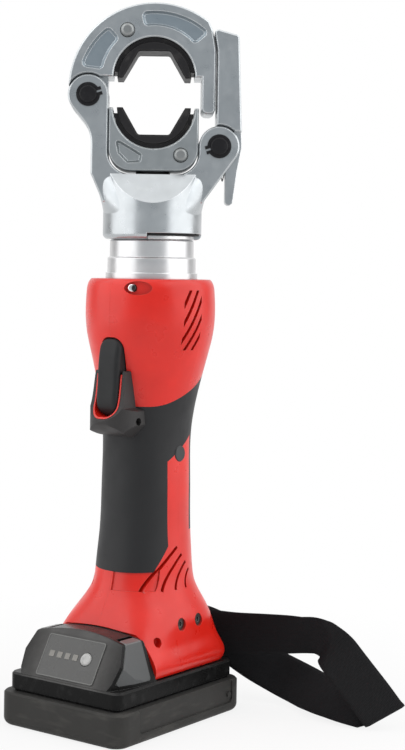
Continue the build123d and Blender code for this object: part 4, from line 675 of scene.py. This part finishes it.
pin_x = 17.05
pin_y = 22.21
pin_height = 45
wrap = 3.6
strap_route = [
    (pin_x - wrap, pin_y - 0.2, pin_height, 0, 0),
    (pin_x - 0.8 * wrap, pin_y + 0.8 * wrap, pin_height, 0, 0),
    (pin_x + 0.6 * wrap, pin_y + 1.3 * wrap, pin_height, 0, 0),
    (36, 29, 42.5, 0, 0),
    (50, 28.5, 34, 0, 0),
    (66, 26.5, 23, 0, 14),
    (80, 22.5, 16, 0, 34),
    (91, 9, 13.4, 3, 48),
    (99.5, -6, 12, 8, 56),
    (109.5, -19, 11.2, 20, 50),
    (119, -27.5, 10.6, 38, 28),
    (127.8, -32.5, 10.2, 56, 6),
    (134, -36.5, 8.8, 60, 0),
    (135, -40, 8, 60, 0),
    (132.8, -41, 10.2, 60, 0),
    (127, -37.5, 17.8, 52, 0),
    (118, -33, 28.6, 50, 0),
    (109.5, -28.5, 39.1, 44, 0),
    (105, -25.5, 44.8, 18, -14),
    (102.6, -23, 46.6, 10, -26),
    (94, -13, 47.4, 0, -34),
    (72, 4.5, 43.4, 0, -16),
    (46, 15.5, 41, 0, 0),
    (pin_x + wrap, pin_y - 0.6 * wrap, pin_height, 0, 0),
    (pin_x - 0.2 * wrap, pin_y - wrap, pin_height, 0, 0),
    (pin_x - wrap, pin_y - 0.9, pin_height, 0, 0),
]


def spline_points(route):
    """The points of one smooth curve that the route's points control."""
    curve = bpy.data.curves.new("strap_line", "CURVE")
    curve.dimensions = "3D"
    curve.resolution_u = strap_resolution
    spline = curve.splines.new("NURBS")
    spline.points.add(len(route) - 1)
    for point, station in zip(spline.points, route):
        point.co = (*(value * mm for value in station[:3]), 1)
    spline.order_u = 3
    spline.use_endpoint_u = True
    holder = bpy.data.objects.new("strap_line", curve)
    mesh = bpy.data.meshes.new_from_object(holder)
    points = [vertex.co.copy() for vertex in mesh.vertices]
    bpy.data.objects.remove(holder)
    bpy.data.curves.remove(curve)
    bpy.data.meshes.remove(mesh)
    return points


def running_lengths(points):
    """The distance from the first point to each point, along the line."""
    lengths = [0.0]
    for before, after in zip(points, points[1:]):
        lengths.append(lengths[-1] + (after - before).length)
    return lengths


def leans_along(route, lengths, column):
    """The route's leans in that column, carried over to points at those distances."""
    stations = running_lengths([Vector(station[:3]) for station in route])
    leans = []
    for length in lengths:
        target = length / lengths[-1] * stations[-1]
        last = next((n for n, value in enumerate(stations) if value >= target), len(stations) - 1)
        first = max(last - 1, 0)
        gap = stations[last] - stations[first]
        share = (target - stations[first]) / gap if gap else 0
        leans.append(route[first][column] + share * (route[last][column] - route[first][column]))
    return leans


def furthest_right(line):
    """The place in the line where the strap turns back."""
    return max(range(len(line)), key=lambda n: line[n].x)


def band(name, line, leans, tips, width, thickness, finish):
    """A flat band along the line, with thin selvedges, and its length and width as UVs in millimetres."""
    lengths = running_lengths(line)
    turn = furthest_right(line)
    shares = [n / band_steps - 0.5 for n in range(band_steps + 1)]
    outline = [(share, 0.5) for share in shares] + [(-share, -0.5) for share in shares]
    count = len(outline)
    points = []
    for n, middle in enumerate(line):
        ahead = line[min(n + 1, len(line) - 1)] - line[max(n - 1, 0)]
        ahead.normalize()
        lean = math.radians(leans[n])
        tip = math.radians(tips[n])
        broad = Vector((math.sin(lean) * math.cos(tip), math.sin(tip), math.cos(lean) * math.cos(tip)))
        square = min(1, abs(lengths[n] - lengths[turn]) / fold_reach)
        broad = (broad - ahead * broad.dot(ahead) * square).normalized()
        thin = ahead.cross(broad)
        for across, face in outline:
            into_selvedge = max(0, abs(across) * 2 - (1 - selvedge_share)) / selvedge_share
            slim = 1 - selvedge_thinning * into_selvedge
            points.append(middle + broad * across * width + thin * face * slim * thickness)
    made = mesh_object(name, points, tube_faces(count, len(line) - 1), finish)
    layer = made.data.uv_layers.new(name="weave")
    for corner in made.data.loops:
        ring, spot = divmod(corner.vertex_index, count)
        layer.data[corner.index].uv = (lengths[ring] / mm, outline[spot][0] * width / mm)
    return made


strap_line = spline_points(strap_route)
strap_lengths = running_lengths(strap_line)
strap_fold = strap_lengths[furthest_right(strap_line)] / mm
webbing = woven("black_webbing", (0.007, 0.007, 0.008), strap_fold, strap_fold + crease_gap)
strap_leans = leans_along(strap_route, strap_lengths, 3)
strap_tips = leans_along(strap_route, strap_lengths, 4)
strap_band = band("strap_band", strap_line, strap_leans, strap_tips, strap_width, strap_thickness, webbing)
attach(strap_band, "handle")
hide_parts("strap")

# Finishes of the solids: by material, and by name where a solid has its own

finishes = {
    "head_metal": head_coat,
    "collar_metal": turned,
    "die_metal": blackened,
    "steel": steel,
    "button_metal": nickel,
    "red_plastic": red,
    "grip_rubber": grip_black,
    "black_plastic": trigger_black,
    "grey_plastic": plug_grey,
    "seal_rubber": seal_black,
    "copper_alloy": brass,
    "board": board_green,
    "cell_wrap": cell_sleeve,
    "lens": lens,
    "led": led_grey,
    "webbing": webbing,
}
own_finish = {
    "battery_case": case_black,
    "battery_tray": tray_black,
    "gauge_panel": panel_black,
    "release_button_right": button_grey,
    "release_button_left": button_grey,
    "housing_screws": zinc,
    "lower_die_holder": holder_coat,
    "trigger_guard": guard_black,
    "gauge_button": button_silver,
    "arch_pin": pin_black,
    "latch_pin": pin_black,
    "pin_circlips": pin_black,
}
for name, node in nodes.items():
    for place, old in enumerate(node.data.materials):
        node.data.materials[place] = own_finish.get(name, finishes[old.name.split(".")[0]])

# Springs: coils of round wire in the places of the spring nodes


def coil(name, foot, way, length, radius, wire_width, turns, finish):
    """An open coil that stands on its foot and winds along the way it points. Sizes in millimetres."""
    steps = coil_steps * turns
    right = way.orthogonal().normalized()
    forward = way.cross(right)
    points = []
    for step in range(steps + 1):
        angle = 2 * math.pi * turns * step / steps
        outward = right * math.cos(angle) + forward * math.sin(angle)
        climb = wire_width / 2 + (length - wire_width) * step / steps
        centre = foot + way * climb + outward * (radius - wire_width / 2)
        for k in range(wire_sides):
            round_wire = 2 * math.pi * k / wire_sides
            lean = outward * math.cos(round_wire) + way * math.sin(round_wire)
            points.append((centre + lean * (wire_width / 2)) * mm)
    return mesh_object(name, points, tube_faces(wire_sides, steps), finish)


def shortening_coil(name, node, body, joint, foot, way, length, radius, wire_width, turns, travel):
    """A coil in the place of a node, held at its foot. Its joint and travel are not used."""
    spring = coil(name, foot, way, length, radius, wire_width, turns, steel)
    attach(spring, body)
    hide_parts(node)
    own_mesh(spring)


switch_face = body_point(0, switch_rear, switch_height) / mm
shortening_coil(
    "return_coil", "return_spring", "ram", "ram_slide", piston_top, up, **return_coil_size
)
shortening_coil(
    "latch_coil", "latch_spring", "head", "latch_hinge", latch_seat, to_latch, **latch_coil_size
)
shortening_coil(
    "trigger_coil", "trigger_spring", "handle", "trigger_pull", switch_face, -body_back, **trigger_coil_size
)

# Screens behind the lower vents: thin walls close inside the housing


def housing_point(height, angle, inset, side):
    """A point inside the housing's outer surface, at an angle from its widest place towards the rear."""
    above = next(k for k, section in enumerate(vent_sections) if section[0] >= height)
    lower = vent_sections[above - 1]
    upper = vent_sections[above]
    share = (height - lower[0]) / (upper[0] - lower[0])
    front, rear, half_width, squareness = (a + (b - a) * share for a, b in zip(lower[1:], upper[1:]))
    across = math.cos(angle)
    along = math.sin(angle)
    reach = (abs(across) ** squareness + abs(along) ** squareness) ** (-1 / squareness)
    middle = (rear - front) / 2
    half_depth = (front + rear) / 2 - inset
    sideways = side * (half_width - inset) * reach * across
    return body_point(sideways, middle + half_depth * reach * along, height)


def vent_screen(name, side, finish):
    """A thin curved wall behind the lower vents of one side."""
    rises = [screen_low + (screen_high - screen_low) * row / screen_rows for row in range(screen_rows + 1)]
    outline = [(height, screen_outside) for height in rises]
    outline += [(height, screen_inside) for height in reversed(rises)]
    points = []
    for column in range(screen_columns + 1):
        angle = math.radians(screen_front + (screen_rear - screen_front) * column / screen_columns)
        for height, inset in outline:
            points.append(housing_point(height, angle, inset, side))
    faces = tube_faces(len(outline), screen_columns)
    if side < 0:
        faces = [tuple(reversed(face)) for face in faces]
    return mesh_object(name, points, faces, finish)


for name, side in (("vent_screen_left", -1), ("vent_screen_right", 1)):
    screen = vent_screen(name, side, red)
    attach(screen, "handle")

# In the relief of the yoke's rim: a turned carrier with a black ring on it that stands in for the shade in
# the gap


def ring_arc(name, inner, outer, low, high, finish):
    """Part of a ring about the head's axis, with its outer edges broken. Sizes in millimetres."""
    section = [
        (inner, low),
        (outer - ring_edge, low),
        (outer, low + ring_edge),
        (outer, high - ring_edge),
        (outer - ring_edge, high),
        (inner, high),
    ]
    points = []
    for step in range(ring_steps + 1):
        angle = math.radians(rim_ring_start + (rim_ring_end - rim_ring_start) * step / ring_steps)
        for radius, height in section:
            points.append(Vector((radius * math.cos(angle), radius * math.sin(angle), height)) * mm)
    return mesh_object(name, points, tube_faces(len(section), ring_steps), finish, smooth=False)


# Painted shade: a black ring that fills the gap under the yoke with dark
gap_shade_ring_high = relief_top - rim_ring_clearance
gap_shade_ring = ring_arc("gap_shade_ring", rim_ring_inner, gap_shade_ring_outer, gap_shade_ring_low, gap_shade_ring_high, seal_black)
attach(gap_shade_ring, "head")
carrier_low = relief_floor + 2 * rim_ring_clearance
carrier_high = gap_shade_ring_low - rim_ring_clearance
rim_carrier = ring_arc("rim_carrier", rim_ring_inner, carrier_outer, carrier_low, carrier_high, turned)
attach(rim_carrier, "head")

# Gauge outline: a thin raised line around the panel on the sloped front of the battery


def rounded_corners(half_width, half_length, radius):
    """Points around a rectangle with rounded corners."""
    points = []
    for quarter, (right_way, upper_way) in enumerate(((1, 1), (-1, 1), (-1, -1), (1, -1))):
        for step in range(corner_steps + 1):
            angle = math.radians(90 * (quarter + step / corner_steps))
            x = right_way * (half_width - radius) + radius * math.cos(angle)
            y = upper_way * (half_length - radius) + radius * math.sin(angle)
            points.append((x, y))
    return points


def raised_line(name, outer, inner, low, high, finish):
    """A flat line between two loops on the panel, lifted from one height to another, in millimetres."""
    middle = body_point(0, panel_rear, panel_height)
    loops = ((inner, low), (inner, high), (outer, high), (outer, low))
    points = []
    for loop, height in loops:
        for x, y in loop:
            points.append(middle + (body_right * x + panel_along * y + panel_out * height) * mm)
    faces = tube_faces(len(outer), len(loops), ring=True)
    return mesh_object(name, points, faces, finish, smooth=False)


line_inside = line_inset + line_width
gauge_outline = raised_line(
    "gauge_outline",
    rounded_corners(panel_half_width - line_inset, panel_half_length - line_inset, line_outer_radius),
    rounded_corners(panel_half_width - line_inside, panel_half_length - line_inside, line_inner_radius),
    panel_face - line_sink,
    panel_face + line_rise,
    outline_grey,
)
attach(gauge_outline, "battery")

# Stage: a white floor that keeps a faint shadow, soft boxes at both sides and above


def background_rays(tree):
    """1 for the rays that show the background: straight from the camera, mirrored or through glass."""
    rays = tree.nodes.new("ShaderNodeLightPath").outputs
    mirrored = combine(tree, "MAXIMUM", rays["Is Glossy Ray"], rays["Is Transmission Ray"])
    return combine(tree, "MAXIMUM", rays["Is Camera Ray"], mirrored)


def white_floor(tree):
    """A floor that shows as white, with a share of its shading left in near the object and none far off."""
    tree.nodes.clear()
    out = tree.nodes.new("ShaderNodeOutputMaterial")
    mix = tree.nodes.new("ShaderNodeMixShader")
    matt = tree.nodes.new("ShaderNodeBsdfDiffuse")
    matt.inputs["Color"].default_value = (floor_white, floor_white, floor_white, 1)
    glow = tree.nodes.new("ShaderNodeEmission")
    glow.inputs["Color"].default_value = (1, 1, 1, 1)
    glow.inputs["Strength"].default_value = 1
    away = measure(tree, "LENGTH", coordinates(tree, "Object"))
    white = spread(tree, away, shadow_near, shadow_far, 1 - shadow_share, 1)
    wire(tree, product(tree, background_rays(tree), white), mix.inputs[0])
    wire(tree, matt.outputs[0], mix.inputs[1])
    wire(tree, glow.outputs[0], mix.inputs[2])
    wire(tree, mix.outputs[0], out.inputs["Surface"])


floor_paint = bpy.data.materials.new("floor_white")
floor_paint.use_nodes = True
white_floor(floor_paint.node_tree)
floor_corners = [(x * floor_reach, y * floor_reach, 0) for x, y in ((-1, -1), (1, -1), (1, 1), (-1, 1))]
floor = mesh_object("floor", floor_corners, [(0, 1, 2, 3)], floor_paint, smooth=False)


def soft_box(name, place, aim, width, height, power):
    """A rectangular studio light at a place, turned to a point."""
    lamp = bpy.data.lights.new(name, "AREA")
    lamp.shape = "RECTANGLE"
    lamp.size = width
    lamp.size_y = height
    lamp.energy = power
    holder = bpy.data.objects.new(name, lamp)
    holder.location = place
    holder.rotation_euler = (Vector(aim) - Vector(place)).to_track_quat("-Z", "Y").to_euler()
    bpy.context.scene.collection.objects.link(holder)


soft_box("left_box", place=(-1.25, -0.35, 0.85), aim=(0, 0, 0.22), width=2.0, height=2.2, power=19)
soft_box("right_box", place=(1.25, -0.35, 0.80), aim=(0, 0, 0.22), width=2.0, height=2.2, power=20.5)
soft_box("top_box", place=(0, 0.1, 1.45), aim=(0, 0, 0.2), width=1.4, height=1.2, power=3)


def studio_world(tree):
    """A white world that fills softly. Mirrored, it is dimmer in front and behind the side lights."""
    rays = tree.nodes.new("ShaderNodeLightPath").outputs
    heading = parts_of(tree, coordinates(tree, "Generated"))
    ahead = spread(tree, heading["Y"], low=-0.86, high=-0.30, start=room_dark, end=1)
    above = spread(tree, heading["Z"], low=0.25, high=0.75, start=room_dark, end=1)
    front = combine(tree, "MAXIMUM", ahead, above)
    sideways = product(tree, heading["X"], heading["X"])
    beside = spread(tree, sideways, low=0.30, high=0.70, start=1, end=beside_dark)
    mirrored = product(tree, rays["Is Glossy Ray"], product(tree, front, beside))
    seen = combine(tree, "MAXIMUM", rays["Is Camera Ray"], rays["Is Transmission Ray"])
    soft = product(tree, combine(tree, "SUBTRACT", 1, rays["Is Glossy Ray"]), fill)
    strength = combine(tree, "MAXIMUM", combine(tree, "MAXIMUM", seen, mirrored), soft)
    dimmed = product(tree, rays["Is Glossy Ray"], combine(tree, "SUBTRACT", 1, front))
    backdrop = tree.nodes["Background"]
    wire(tree, colour_mix(tree, dimmed, (1, 1, 1), room_tint), backdrop.inputs["Color"])
    wire(tree, strength, backdrop.inputs["Strength"])


world = bpy.data.worlds.new("studio")
world.use_nodes = True
studio_world(world.node_tree)
bpy.context.scene.world = world

# Camera

camera_data = bpy.data.cameras.new("camera")
camera_data.lens = lens_length
camera_data.sensor_width = sensor_width
camera_data.shift_x = shift_right / picture_side
camera_data.shift_y = shift_up / picture_side
camera = bpy.data.objects.new("camera", camera_data)
camera.location = eye
camera.rotation_euler = (math.radians(90), roll, 0)
bpy.context.scene.collection.objects.link(camera)
bpy.context.scene.camera = camera
bpy.context.scene.view_settings.view_transform = "Standard"
